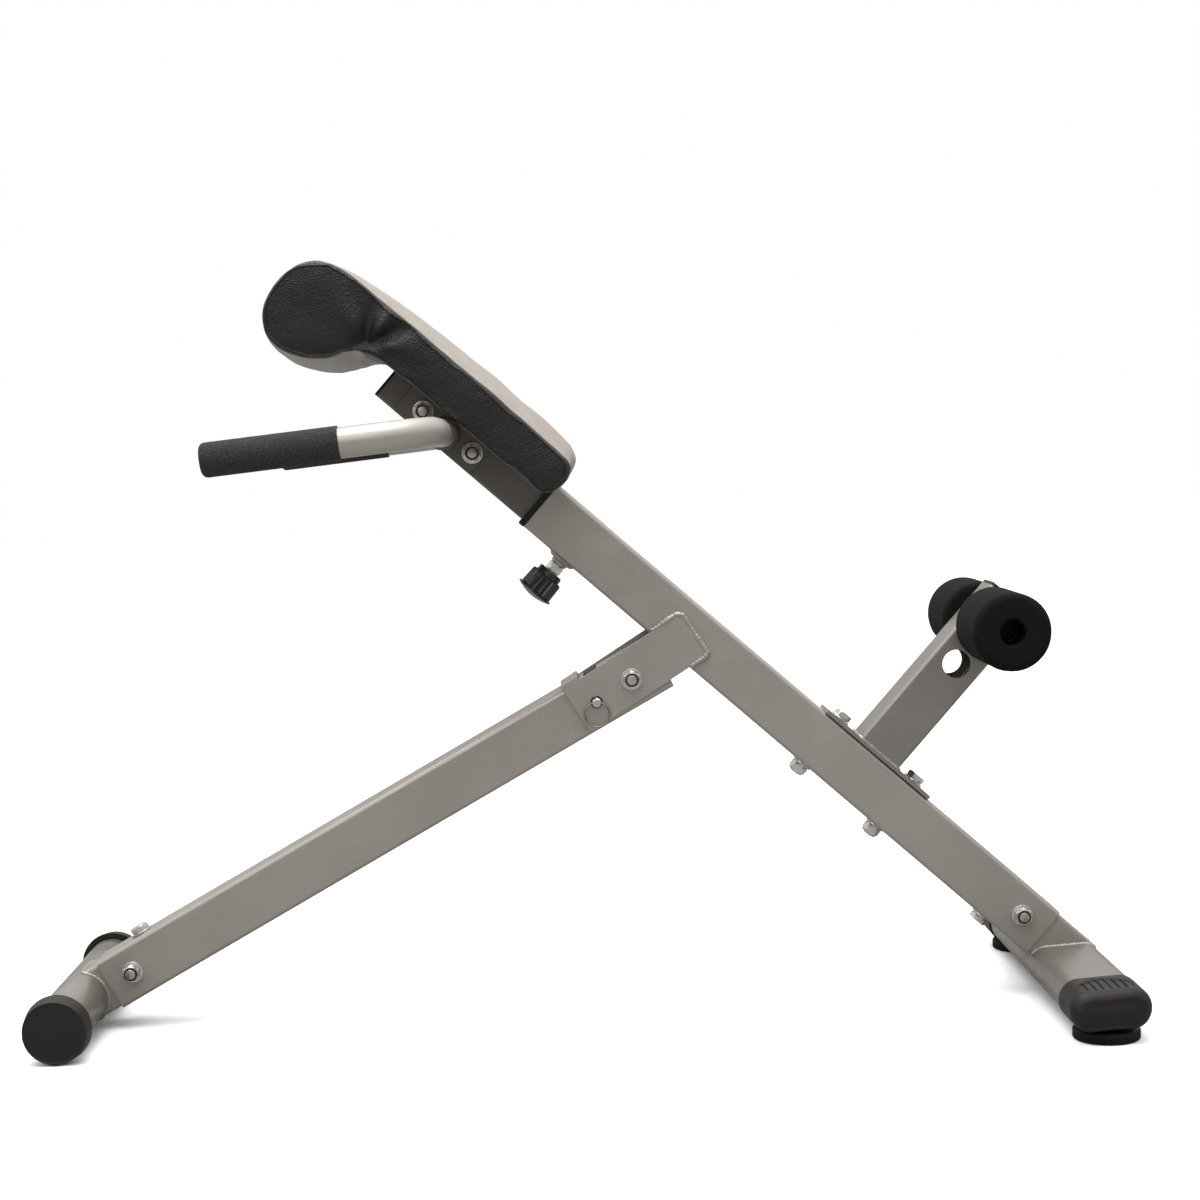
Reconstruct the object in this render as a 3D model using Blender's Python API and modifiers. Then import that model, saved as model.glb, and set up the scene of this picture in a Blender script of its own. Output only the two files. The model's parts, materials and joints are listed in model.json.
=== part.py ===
"""Roman chair: a folding 45 degree back extension bench, modelled as it is assembled.

Metres, +Z up. The floor is z = 0, the foot end is +X, the head end is -X and the
user's left is -Y. Everything on the long inclined tube is laid out in its own frame:
s runs down the tube towards the foot end, n is square to it and points up.
"""
from math import atan2, cos, pi, radians, sin

import bmesh
import bpy
from mathutils import Matrix, Vector

GAP = 0.0003  # clearance kept between touching pieces

# Main tube and its frame
MAIN_ANGLE = radians(42.26)
MAIN_ORIGIN = Vector((0.1561, 0.0, 0.3620))
TUBE_SIZE = 0.055
TUBE_WALL = 0.002
TUBE_CORNER = 0.0045
MAIN_TOP_S = -0.241
MAIN_FOOT_S = 0.441

# Seat post, which slides in the main tube
POST_SIZE = 0.046
POST_WALL = 0.0018
POST_CORNER = 0.0035
POST_TOP_S = -0.440
POST_FOOT_S = -0.045
LOCK_S = -0.1886
HOLE_PITCH = 0.025
HOLE_COUNT = 6
LOCK_HOLE_RADIUS = 0.0042

# Guide sleeve in the mouth of the main tube
SLEEVE_FLANGE = 0.006
SLEEVE_DEPTH = 0.055

# Front leg, its pivot and the stabilizer it carries
PIVOT_S = -0.0564
PIVOT_N = -0.0745
FRONT_AXIS = Vector((-0.5106, 0.0, 0.0327))
LEG_DROP = 0.0015          # the leg's middle line runs this far under the pivot
LEG_FOOT_X = -0.622
LEG_HEAD_X = 0.0338
FRONT_TUBE_RADIUS = 0.027
FRONT_TUBE_WALL = 0.002
FRONT_HALF = 0.156
FRONT_CAP_RADIUS = 0.0336
FRONT_CAP_LENGTH = 0.021
FRONT_CAP_END = 0.161
STUB_SIZE = 0.0502
STUB_WALL = 0.003
STUB_REACH = 0.105
LEG_SIDE_BOLT_X = -0.5941
LEG_TOP_BOLT_X = -0.5716

# Fold bracket: two plates beside the leg and a stop web across them
BRACKET_TILT = radians(3.2)
BRACKET_PLATE = 0.0035
BRACKET_LEFT_X = -0.065
BRACKET_RIGHT_X = 0.079
BRACKET_LOW_Z = -0.0228
BRACKET_HIGH_Z = 0.0292
WEB_RIGHT_X = -0.045
WEB_UNDER_Z = 0.0302
WEB_TOP_Z = 0.0332
BRACKET_CORNER = 0.004
FOLD_PIN_RADIUS = 0.0049
FOLD_PIN_REACH = 0.0427
FOLD_PIN_HOLE = 0.0063
FOLD_PIN_HEAD_Y = -0.0402
FOLD_PIN_TIP_Y = 0.0362
RING_Y = -0.0366
RING_RADIUS = 0.0126
RING_WIRE = 0.0009
RING_HOLE = 0.0019
RING_SEAT = 0.0005         # the wire hangs from this far above the pin's middle
BUSH_RADIUS = 0.008

# Rear stabilizer, an oval tube with screw feet
REAR_AXIS = Vector((0.5042, 0.0, 0.0335))
REAR_TILT = radians(3.5)
REAR_WIDTH = 0.076
REAR_HEIGHT = 0.037
REAR_WALL = 0.002
REAR_HALF = 0.2275
REAR_CAP_START = 0.171
REAR_CAP_END = 0.2310
REAR_CAP_WALL = 0.0017
REAR_SIDE_BOLT_S = 0.4112
REAR_LOWER_BOLT_S = 0.386
FOOT_X = 0.5051
FOOT_Y = 0.1965
FOOT_RADIUS = 0.0323
FOOT_HEIGHT = 0.0112
FOOT_STUD_RADIUS = 0.005
FOOT_STUD_TOP = 0.044
INSERT_RADIUS = 0.009
INSERT_BASE = 0.018
INSERT_TOP = 0.030

# Ankle support
ANKLE_S = 0.1885
ANKLE_POST_SIZE = 0.0525
ANKLE_PLATE = 0.004
ANKLE_PLATE_LENGTH = 0.139
ANKLE_BOLT_OFFSET = 0.0502
ANKLE_TOP_N = 0.2378
SPARE_HOLE_N = 0.1529
SPARE_HOLE_RADIUS = 0.01465
ROLLER_N = 0.2070
ROLLER_TUBE_RADIUS = 0.0127
ROLLER_TUBE_HALF = 0.112
ROLLER_RADIUS = 0.0388
ROLLER_INNER_Y = 0.0345
ROLLER_OUTER_Y = 0.1390

# Handles
HANDLE_PLATE = 0.004
HANDLE_PLATE_LENGTH = 0.101
HANDLE_PLATE_HEIGHT = 0.041
HANDLE_BOLT_S = (-0.3938, -0.3288)
HANDLE_BOLT_N = -0.004
HANDLE_S = -0.364
HANDLE_N = -0.008
HANDLE_RADIUS = 0.014
HANDLE_WALL = 0.0018
HANDLE_Y = 0.3017
HANDLE_BEND = 0.050
HANDLE_SLOPE = radians(5.4)
HANDLE_END_X = -0.3190
GRIP_RADIUS = 0.0158
GRIP_LENGTH = 0.1245
GRIP_END_X = -0.3228

# Pad
PAD_HALF_WIDTH = 0.160
PAD_SEAM_N = 0.0526
PAD_HEM_N = 0.0112
PAD_TOP_FROM = 0.045
CROWN_S = -0.335
CROWN_HALF = 0.235
CROWN_HEIGHT = 0.023
ROLL_FROM = -0.475
ROLL_CENTRE_S = -0.525
ROLL_FULLNESS = 0.008
BOARD_HALF_WIDTH = 0.140
BOARD_THICKNESS = 0.012
BOARD_TOP_S = -0.460
BOARD_FOOT_S = -0.264
BAR_THICKNESS = 0.003
BAR_WIDTH = 0.040
BAR_HALF_LENGTH = 0.110
BAR_S = (-0.402, -0.302)
PAD_SCREW_Y = 0.090
PAD_SCREW_RADIUS = 0.003
PAD_SCREW_BITE = 0.009

# M10 fasteners
BOLT_RADIUS = 0.005
BOLT_HOLE = 0.0054
HEX_RADIUS = 0.0098
HEAD_HEIGHT = 0.0064
NUT_HEIGHT = 0.0080
NUT_COLLAR = 0.0022
WASHER_RADIUS = 0.0100
WASHER = 0.0018
THREAD_END = 0.0022
COLLAR_RADII = (0.0078, 0.0068)
SHORT_BOLT = 0.016

# Lock knob, measured out from the underside of the main tube
COLLAR_RADIUS = 0.014
COLLAR_HEIGHT = 0.0075
HOUSING_RADIUS = 0.006
HOUSING_HEX = 0.0072
HOUSING_END = 0.0170
KNOB_START = 0.0176
KNOB_END = 0.0500
PLUNGER_RADIUS = 0.003

FINISHES = {
    "silver_paint": ((0.30, 0.285, 0.265), 0.38, 0.75),
    "grey_paint": ((0.075, 0.071, 0.066), 0.40, 0.60),
    "zinc": ((0.62, 0.62, 0.60), 0.28, 1.0),
    "black_plastic": ((0.020, 0.019, 0.018), 0.45, 0.0),
    "foam": ((0.012, 0.012, 0.011), 0.95, 0.0),
    "leather": ((0.030, 0.029, 0.027), 0.50, 0.0),
    "plywood": ((0.42, 0.30, 0.18), 0.80, 0.0),
}


# ---------------------------------------------------------------- frames

def main_frame(s=0.0, n=0.0):
    """Matrix whose X runs down the main tube and whose Z is square to it."""
    turn = Matrix.Rotation(MAIN_ANGLE, 4, "Y")
    return Matrix.Translation(MAIN_ORIGIN) @ turn @ Matrix.Translation((s, 0.0, n))


def pivot_point():
    return main_frame(PIVOT_S, PIVOT_N).to_translation()


def leg_frame():
    """Origin at the pivot, X up along the leg."""
    pivot = pivot_point()
    rise = atan2(pivot.z - FRONT_AXIS.z, pivot.x - FRONT_AXIS.x)
    return Matrix.Translation(pivot) @ Matrix.Rotation(-rise, 4, "Y")


def bracket_frame():
    return leg_frame() @ Matrix.Rotation(-BRACKET_TILT, 4, "Y")


def rear_frame():
    return Matrix.Translation(REAR_AXIS) @ Matrix.Rotation(-REAR_TILT, 4, "Y")


def aimed(point, direction):
    """Matrix at a point whose Z axis follows a direction."""
    turn = Vector(direction).to_track_quat("Z", "Y").to_matrix().to_4x4()
    return Matrix.Translation(point) @ turn


def lock_frame():
    base = main_frame(LOCK_S, -TUBE_SIZE / 2)
    return base @ Matrix.Rotation(pi, 4, "X")


# ---------------------------------------------------------------- basics

def clear_scene():
    for old in list(bpy.data.objects):
        bpy.data.objects.remove(old, do_unlink=True)


def new_collection(name):
    made = bpy.data.collections.new(name)
    bpy.context.scene.collection.children.link(made)
    return made


def link_object(name, mesh, matrix, collection):
    made = bpy.data.objects.new(name, mesh)
    made.matrix_world = matrix
    collection.objects.link(made)
    return made


def make_material(name, finish):
    colour, roughness, metallic = FINISHES[finish]
    material = bpy.data.materials.new(name + "_" + finish)
    material.use_nodes = True
    shader = material.node_tree.nodes["Principled BSDF"]
    shader.inputs["Base Color"].default_value = (*colour, 1.0)
    shader.inputs["Roughness"].default_value = roughness
    shader.inputs["Metallic"].default_value = metallic
    return material


def part(name, mesh, matrix, finish, smooth=False):
    """A named sub-part with a material of its own."""
    made = link_object(name, mesh, matrix, PARTS)
    mesh.materials.clear()
    mesh.materials.append(make_material(name, finish))
    if smooth:
        mesh.shade_smooth()
        mesh.set_sharp_from_angle(angle=radians(40))
    return made


def carry(name, matrix, pieces):
    """An empty on a joint's axis that holds the sub-parts moving together."""
    empty = bpy.data.objects.new(name, None)
    empty.empty_display_size = 0.04
    empty.matrix_world = matrix
    PARTS.objects.link(empty)
    for piece in pieces:
        piece.parent = empty
        piece.matrix_parent_inverse = matrix.inverted()


def tool(mesh, matrix):
    """A hidden solid that cuts or joins another."""
    made = link_object("tool", mesh, matrix, CUTTERS)
    made.hide_render = True
    made.display_type = "WIRE"
    return made


def combine(target, mesh, matrix, operation):
    modifier = target.modifiers.new(operation.lower(), "BOOLEAN")
    modifier.operation = operation
    modifier.solver = "EXACT"
    modifier.object = tool(mesh, matrix)


def cut(target, mesh, matrix):
    combine(target, mesh, matrix, "DIFFERENCE")


def join(target, mesh, matrix):
    combine(target, mesh, matrix, "UNION")


# ---------------------------------------------------------------- shapes

def box_mesh(low, high):
    low, high = Vector(low), Vector(high)
    size = high - low
    mesh = bpy.data.meshes.new("box")
    shape = bmesh.new()
    bmesh.ops.create_cube(shape, size=1.0)
    bmesh.ops.scale(shape, vec=size, verts=shape.verts)
    bmesh.ops.translate(shape, vec=(low + high) / 2, verts=shape.verts)
    shape.to_mesh(mesh)
    shape.free()
    return mesh


def rod_mesh(radius, start, end, sides=16, end_radius=None):
    """A cylinder or prism along Z from start to end."""
    mesh = bpy.data.meshes.new("rod")
    shape = bmesh.new()
    tip = radius if end_radius is None else end_radius
    bmesh.ops.create_cone(
        shape, cap_ends=True, segments=sides, radius1=radius, radius2=tip, depth=end - start)
    bmesh.ops.translate(shape, vec=(0, 0, (start + end) / 2), verts=shape.verts)
    shape.to_mesh(mesh)
    shape.free()
    return mesh


def mesh_from_object(source):
    """The evaluated mesh of a curve or a modified object, welded, with the source removed."""
    bpy.context.view_layer.update()
    graph = bpy.context.evaluated_depsgraph_get()
    mesh = bpy.data.meshes.new_from_object(source.evaluated_get(graph))
    data = source.data
    bpy.data.objects.remove(source, do_unlink=True)
    if isinstance(data, bpy.types.Curve):
        bpy.data.curves.remove(data)
    shape = bmesh.new()
    shape.from_mesh(mesh)
    bmesh.ops.remove_doubles(shape, verts=shape.verts, dist=0.00001)
    shape.to_mesh(mesh)
    shape.free()
    return mesh


def prism_mesh(outlines, start, end, axis):
    """A flat outline with holes, extruded along X, Y or Z from start to end."""
    curve = bpy.data.curves.new("outline", "CURVE")
    curve.dimensions = "2D"
    curve.fill_mode = "BOTH"
    curve.extrude = (end - start) / 2
    for outline in outlines:
        spline = curve.splines.new("POLY")
        spline.points.add(len(outline) - 1)
        for point, (across, up) in zip(spline.points, outline):
            point.co = (across, up, 0.0, 1.0)
        spline.use_cyclic_u = True
    mesh = mesh_from_object(link_object("outline", curve, Matrix(), CUTTERS))
    middle = (start + end) / 2
    if axis == "X":
        mesh.transform(Matrix(((0, 0, 1, middle), (1, 0, 0, 0), (0, 1, 0, 0), (0, 0, 0, 1))))
    elif axis == "Y":
        mesh.transform(Matrix(((1, 0, 0, 0), (0, 0, -1, middle), (0, 1, 0, 0), (0, 0, 0, 1))))
    else:
        mesh.transform(Matrix.Translation((0, 0, middle)))
    return mesh


def turned_mesh(profile, closed=False, steps=32):
    """A profile of (radius, height) points turned about Z, listed down its outer side."""
    mesh = bpy.data.meshes.new("profile")
    edges = [(i, i + 1) for i in range(len(profile) - 1)]
    if closed:
        edges.append((len(profile) - 1, 0))
    mesh.from_pydata([(radius, 0.0, height) for radius, height in profile], edges, [])
    source = link_object("profile", mesh, Matrix(), CUTTERS)
    screw = source.modifiers.new("screw", "SCREW")
    screw.steps = steps
    screw.render_steps = steps
    screw.use_merge_vertices = True
    screw.merge_threshold = 0.00001
    return mesh_from_object(source)


def rounded_rectangle(width, height, radius, arc_steps=4, centre=(0.0, 0.0)):
    points = []
    corners = ((1, 1, 0), (-1, 1, 90), (-1, -1, 180), (1, -1, 270))
    for side, level, start in corners:
        for step in range(arc_steps + 1):
            turn = radians(start + 90 * step / arc_steps)
            x = side * (width / 2 - radius) + radius * cos(turn)
            z = level * (height / 2 - radius) + radius * sin(turn)
            points.append((centre[0] + x, centre[1] + z))
    return points


def oval_outline(width, height, arc_steps=9):
    """Two half circles joined by straight runs."""
    radius = height / 2
    points = []
    for side, start in ((1, -90), (-1, 90)):
        for step in range(arc_steps + 1):
            turn = radians(start + 180 * step / arc_steps)
            points.append((side * (width / 2 - radius) + radius * cos(turn), radius * sin(turn)))
    return points


def square_tube_mesh(size, wall, corner, start, end, drop=0.0):
    outer = rounded_rectangle(size, size, corner, 3, (0.0, -drop))
    inner_corner = max(corner - wall, 0.0008)
    inner = rounded_rectangle(size - 2 * wall, size - 2 * wall, inner_corner, 2, (0.0, -drop))
    return prism_mesh((outer, inner), start, end, "X")


def bent_tube_mesh(points, radius, sides_resolution=3):
    """A round rod along a list of points, with filled ends."""
    curve = bpy.data.curves.new("path", "CURVE")
    curve.dimensions = "3D"
    curve.bevel_depth = radius
    curve.bevel_resolution = sides_resolution
    curve.use_fill_caps = True
    spline = curve.splines.new("POLY")
    spline.points.add(len(points) - 1)
    for point, place in zip(spline.points, points):
        point.co = (*place, 1.0)
    return mesh_from_object(link_object("path", curve, Matrix(), CUTTERS))


def drill(target, matrix, radius, start, end, sides=16):
    cut(target, rod_mesh(radius, start, end, sides), matrix)


# ---------------------------------------------------------------- fasteners

def bolt(name, matrix, length, finish="zinc"):
    """A hex bolt whose shank runs along +Z from under its head at z = 0."""
    made = part(name, rod_mesh(HEX_RADIUS, -WASHER - HEAD_HEIGHT, -WASHER, 6), matrix, finish)
    join(made, rod_mesh(WASHER_RADIUS, -WASHER - 0.0002, 0.0, 20), matrix)
    join(made, rod_mesh(BOLT_RADIUS, -WASHER - 0.001, length), matrix)
    return made


def nut(name, matrix, finish="zinc"):
    """A locking nut on its washer, which rises along +Z from z = 0."""
    made = part(name, rod_mesh(HEX_RADIUS, WASHER, WASHER + NUT_HEIGHT, 6), matrix, finish)
    top = WASHER + NUT_HEIGHT
    join(made, rod_mesh(WASHER_RADIUS, 0.0, WASHER + 0.0002, 20), matrix)
    low_radius, top_radius = COLLAR_RADII
    join(made, rod_mesh(low_radius, top - 0.001, top + NUT_COLLAR, 16, top_radius), matrix)
    drill(made, matrix, BOLT_RADIUS + GAP, -0.001, top + NUT_COLLAR + 0.001)
    return made


def nut_stack():
    return WASHER + NUT_HEIGHT + NUT_COLLAR


def crossing_bolt(bolt_name, nut_name, point, half_span):
    """A bolt along Y with its nut on the user's left side."""
    head = aimed(Vector(point) + Vector((0, half_span + GAP, 0)), (0, -1, 0))
    bolt(bolt_name, head, 2 * (half_span + GAP) + nut_stack() + THREAD_END)
    nut(nut_name, aimed(Vector(point) - Vector((0, half_span + GAP, 0)), (0, -1, 0)))


# ---------------------------------------------------------------- main tube

def make_main_tube():
    frame = main_frame()
    tube = part(
        "main_tube",
        square_tube_mesh(TUBE_SIZE, TUBE_WALL, TUBE_CORNER, MAIN_TOP_S, MAIN_FOOT_S),
        frame, "silver_paint")
    drill(tube, lock_frame(), HOUSING_RADIUS + GAP, -0.006, 0.004)
    for side in (-1, 1):
        across = main_frame(ANKLE_S + side * ANKLE_BOLT_OFFSET)
        drill(tube, across, BOLT_HOLE, -TUBE_SIZE, TUBE_SIZE)
    side_bolt = main_frame(REAR_SIDE_BOLT_S) @ Matrix.Rotation(pi / 2, 4, "X")
    drill(tube, side_bolt, BOLT_HOLE, -TUBE_SIZE, TUBE_SIZE)
    drill(tube, main_frame(REAR_LOWER_BOLT_S), BOLT_HOLE, -TUBE_SIZE, -0.02)


def make_guide_sleeve():
    """Plastic bush that fills the space between the main tube and the seat post."""
    frame = main_frame()
    outer = rounded_rectangle(TUBE_SIZE + 0.001, TUBE_SIZE + 0.001, TUBE_CORNER, 3)
    hole_size = POST_SIZE + 2 * GAP
    hole = rounded_rectangle(hole_size, hole_size, POST_CORNER, 2)
    flange_start = MAIN_TOP_S - GAP - SLEEVE_FLANGE
    sleeve = part(
        "guide_sleeve", prism_mesh((outer, hole), flange_start, MAIN_TOP_S - GAP, "X"),
        frame, "black_plastic")
    inside = TUBE_SIZE - 2 * TUBE_WALL - 2 * GAP
    body = rounded_rectangle(inside, inside, TUBE_CORNER - TUBE_WALL, 2)
    join(sleeve,
         prism_mesh((body, hole), flange_start + 0.001, MAIN_TOP_S + SLEEVE_DEPTH - 0.012, "X"),
         frame)


def make_fold_bracket():
    frame = bracket_frame()
    inner = TUBE_SIZE / 2 + GAP
    outer = inner + BRACKET_PLATE
    length = BRACKET_RIGHT_X - BRACKET_LEFT_X
    height = BRACKET_HIGH_Z - BRACKET_LOW_Z
    centre = ((BRACKET_RIGHT_X + BRACKET_LEFT_X) / 2, (BRACKET_HIGH_Z + BRACKET_LOW_Z) / 2)
    outline = rounded_rectangle(length, height, BRACKET_CORNER, 3, centre)
    bracket = part("fold_bracket", prism_mesh((outline,), inner, outer, "Y"), frame, "silver_paint")
    join(bracket, prism_mesh((outline,), -outer, -inner, "Y"), frame)
    for side in (-1, 1):
        near, far = sorted((side * inner, side * outer))
        ear = box_mesh((BRACKET_LEFT_X, near, 0.0), (WEB_RIGHT_X, far, WEB_TOP_Z - 0.0004))
        join(bracket, ear, frame)
    web = box_mesh((BRACKET_LEFT_X, -outer, WEB_UNDER_Z), (WEB_RIGHT_X, outer, WEB_TOP_Z))
    join(bracket, web, frame)
    along_y = Matrix.Rotation(pi / 2, 4, "X")
    drill(bracket, frame @ along_y, BOLT_HOLE, -0.05, 0.05)
    pin_place = Matrix.Translation((-FOLD_PIN_REACH, 0, 0))
    drill(bracket, frame @ pin_place @ along_y, FOLD_PIN_HOLE, -0.05, 0.05)


# ---------------------------------------------------------------- front leg

def leg_slot_outline():
    """The path that the fold pin leaves free in the leg: an arc about the pivot."""
    start, end, steps = radians(192), radians(118), 8
    turns = [start + (end - start) * i / steps for i in range(steps + 1)]
    inner = FOLD_PIN_REACH - FOLD_PIN_HOLE
    outer = FOLD_PIN_REACH + FOLD_PIN_HOLE
    outside = [(outer * cos(turn), outer * sin(turn)) for turn in turns]
    inside = [(inner * cos(turn), inner * sin(turn)) for turn in reversed(turns)]
    return outside + inside


def make_leg():
    frame = leg_frame()
    along_y = Matrix.Rotation(pi / 2, 4, "X")
    leg = part(
        "leg_tube",
        square_tube_mesh(TUBE_SIZE, TUBE_WALL, TUBE_CORNER, LEG_FOOT_X, LEG_HEAD_X, LEG_DROP),
        frame, "silver_paint")
    drill(leg, frame @ along_y, BUSH_RADIUS + GAP, -0.05, 0.05)
    cut(leg, prism_mesh((leg_slot_outline(),), -0.05, 0.05, "Y"), frame)
    side_bolt = frame @ Matrix.Translation((LEG_SIDE_BOLT_X, 0, -LEG_DROP)) @ along_y
    drill(leg, side_bolt, BOLT_HOLE, -0.05, 0.05)
    top_bolt = frame @ Matrix.Translation((LEG_TOP_BOLT_X, 0, 0))
    drill(leg, top_bolt, BOLT_HOLE, 0.015, 0.05)

    half = TUBE_SIZE / 2
    bore = BOLT_RADIUS + GAP
    bush = turned_mesh(
        ((BUSH_RADIUS, half), (BUSH_RADIUS, -half), (bore, -half), (bore, half)),
        closed=True, steps=16)
    part("pivot_bush", bush, frame @ along_y, "zinc", smooth=True)
    crossing_bolt("pivot_bolt", "pivot_nut", pivot_point(), half + GAP + BRACKET_PLATE)


def make_front_stabilizer():
    """Round cross tube with a square stub that plugs into the leg."""
    frame = leg_frame()
    along_y = Matrix.Rotation(pi / 2, 4, "X")
    axis_x = (frame.inverted() @ FRONT_AXIS).x
    cross = frame @ Matrix.Translation((axis_x, 0, 0)) @ along_y
    stub = square_tube_mesh(
        STUB_SIZE, STUB_WALL, 0.0022, axis_x, LEG_FOOT_X + STUB_REACH, LEG_DROP)
    made = part("front_stabilizer", stub, frame, "silver_paint")
    join(made, rod_mesh(FRONT_TUBE_RADIUS, -FRONT_HALF, FRONT_HALF, 32), cross)
    bore = FRONT_TUBE_RADIUS - FRONT_TUBE_WALL
    drill(made, cross, bore, -FRONT_HALF - 0.01, FRONT_HALF + 0.01, 32)
    side_bolt = frame @ Matrix.Translation((LEG_SIDE_BOLT_X, 0, -LEG_DROP)) @ along_y
    drill(made, side_bolt, BOLT_HOLE, -0.05, 0.05)
    drill(made, frame @ Matrix.Translation((LEG_TOP_BOLT_X, 0, 0)), BOLT_HOLE, 0.015, 0.05)

    for side, name in ((-1, "front_cap_left"), (1, "front_cap_right")):
        make_front_cap(name, side)
    bolt_point = frame @ Vector((LEG_SIDE_BOLT_X, 0, -LEG_DROP))
    crossing_bolt("leg_side_bolt", "leg_side_nut", bolt_point, TUBE_SIZE / 2)
    top = frame @ Matrix.Translation((LEG_TOP_BOLT_X, 0, TUBE_SIZE / 2 - LEG_DROP + GAP))
    bolt("leg_top_bolt", top @ Matrix.Rotation(pi, 4, "X"), SHORT_BOLT)


def make_front_cap(name, side):
    """Moulded end cap over the round tube, with a flat to stand on."""
    radius = FRONT_CAP_RADIUS
    end = FRONT_CAP_END
    start = end - FRONT_CAP_LENGTH
    chamfer = 0.0035
    hole = FRONT_TUBE_RADIUS + GAP
    profile = (
        (0.0, end), (radius - chamfer, end), (radius - 0.001, end - 0.0012),
        (radius, end - chamfer), (radius, start), (hole, start), (hole, FRONT_HALF + GAP),
        (0.0, FRONT_HALF + GAP))
    matrix = aimed(FRONT_AXIS, (0, side, 0))
    cap = part(name, turned_mesh(profile, steps=32), matrix, "black_plastic", smooth=True)
    slab = box_mesh((-0.05, -0.3, -0.02), (0.05, 0.3, 0.0))
    cut(cap, slab, Matrix.Translation((FRONT_AXIS.x, 0, 0)))


# ---------------------------------------------------------------- fold pin

def make_fold_pin():
    frame = bracket_frame() @ Matrix.Translation((-FOLD_PIN_REACH, 0, 0))
    place = frame.to_translation()
    chamfer = 0.0012
    radius = FOLD_PIN_RADIUS
    profile = (
        (0.0, -FOLD_PIN_HEAD_Y), (radius - chamfer, -FOLD_PIN_HEAD_Y),
        (radius, -FOLD_PIN_HEAD_Y - chamfer), (radius, -FOLD_PIN_TIP_Y + chamfer),
        (radius - chamfer, -FOLD_PIN_TIP_Y), (0.0, -FOLD_PIN_TIP_Y))
    pin = part("fold_pin", turned_mesh(profile, steps=16), aimed(place, (0, -1, 0)), "zinc", True)
    hole = aimed(place + Vector((0, RING_Y, 0)), (1, 0, 0))
    drill(pin, hole, RING_HOLE, -0.01, 0.01, 12)

    ring_place = place + Vector((0, RING_Y, 0))
    wire = []
    for i in range(6):
        roll = -2 * pi * i / 6
        wire.append((RING_RADIUS + RING_WIRE * cos(roll), RING_WIRE * sin(roll)))
    ring = turned_mesh(wire, closed=True, steps=28)
    ring.transform(Matrix.Rotation(pi / 2, 4, "X"))
    ring.transform(Matrix.Translation((0, 0, RING_SEAT - RING_RADIUS)))
    part("pin_ring", ring, Matrix.Translation(ring_place), "zinc", True)


# ---------------------------------------------------------------- rear stabilizer

def make_rear_stabilizer():
    """Oval cross tube with a square stub that plugs into the main tube."""
    frame = rear_frame()
    oval = oval_outline(REAR_WIDTH, REAR_HEIGHT)
    bore = oval_outline(REAR_WIDTH - 2 * REAR_WALL, REAR_HEIGHT - 2 * REAR_WALL)
    axis = main_frame().inverted() @ REAR_AXIS
    stub = square_tube_mesh(STUB_SIZE, STUB_WALL, 0.0022, MAIN_FOOT_S - STUB_REACH, axis.x - 0.004)
    made = part("rear_stabilizer", stub, main_frame(), "silver_paint")
    join(made, prism_mesh((oval,), -REAR_HALF, REAR_HALF, "Y"), frame)
    cut(made, prism_mesh((bore,), -REAR_HALF - 0.01, REAR_HALF + 0.01, "Y"), frame)
    side_bolt = main_frame(REAR_SIDE_BOLT_S)
    drill(made, side_bolt @ Matrix.Rotation(pi / 2, 4, "X"), BOLT_HOLE, -0.05, 0.05)
    drill(made, main_frame(REAR_LOWER_BOLT_S), BOLT_HOLE, -0.05, -0.015)
    for side in (-1, 1):
        foot = Matrix.Translation((FOOT_X, side * FOOT_Y, 0))
        drill(made, foot, FOOT_STUD_RADIUS + 0.0007, 0.0, 0.028)

    crossing_bolt("rear_side_bolt", "rear_side_nut", side_bolt.to_translation(), TUBE_SIZE / 2)
    under = main_frame(REAR_LOWER_BOLT_S, -TUBE_SIZE / 2 - GAP)
    bolt("rear_lower_bolt", under, SHORT_BOLT)


def make_rear_cap(name, side):
    """Long moulded cap over the oval tube, open below for the foot stud."""
    frame = rear_frame()
    height = REAR_HEIGHT + 2 * GAP + 2 * REAR_CAP_WALL
    width = REAR_WIDTH + 2 * GAP + 2 * REAR_CAP_WALL
    outer = oval_outline(width, height)
    near, far = sorted((side * REAR_CAP_START, side * REAR_CAP_END))
    cap = part(name, prism_mesh((outer,), near, far, "Y"), frame, "black_plastic")
    inner = oval_outline(REAR_WIDTH + 2 * GAP, REAR_HEIGHT + 2 * GAP)
    hollow_end = REAR_HALF + GAP
    near, far = sorted((side * (REAR_CAP_START - 0.01), side * hollow_end))
    cut(cap, prism_mesh((inner,), near, far, "Y"), frame)
    foot = Matrix.Translation((FOOT_X, side * FOOT_Y, 0))
    drill(cap, foot, FOOT_STUD_RADIUS + 0.0015, 0.0, 0.028)


def make_foot(label, side):
    """Screw foot: a knurled disc on a threaded stud, and the insert that the stud turns in."""
    place = Matrix.Translation((FOOT_X, side * FOOT_Y, 0))
    radius = FOOT_RADIUS
    well = FOOT_STUD_RADIUS + GAP
    well_floor = 0.0036
    profile = (
        (0.0, well_floor), (well, well_floor), (well, FOOT_HEIGHT), (radius - 0.002, FOOT_HEIGHT),
        (radius, FOOT_HEIGHT - 0.0015), (radius, 0.0012), (radius - 0.0012, 0.0), (0.0, 0.0))
    part("foot_disc_" + label, turned_mesh(profile, steps=32), place, "black_plastic", True)
    stud = rod_mesh(FOOT_STUD_RADIUS, well_floor + GAP, FOOT_STUD_TOP)
    part("foot_stud_" + label, stud, place, "zinc", True)
    bore = FOOT_STUD_RADIUS + GAP
    insert = turned_mesh(
        ((INSERT_RADIUS, INSERT_TOP), (INSERT_RADIUS, INSERT_BASE), (bore, INSERT_BASE),
         (bore, INSERT_TOP)), True, 16)
    part("foot_insert_" + label, insert, place, "zinc", True)


# ---------------------------------------------------------------- ankle support

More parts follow.
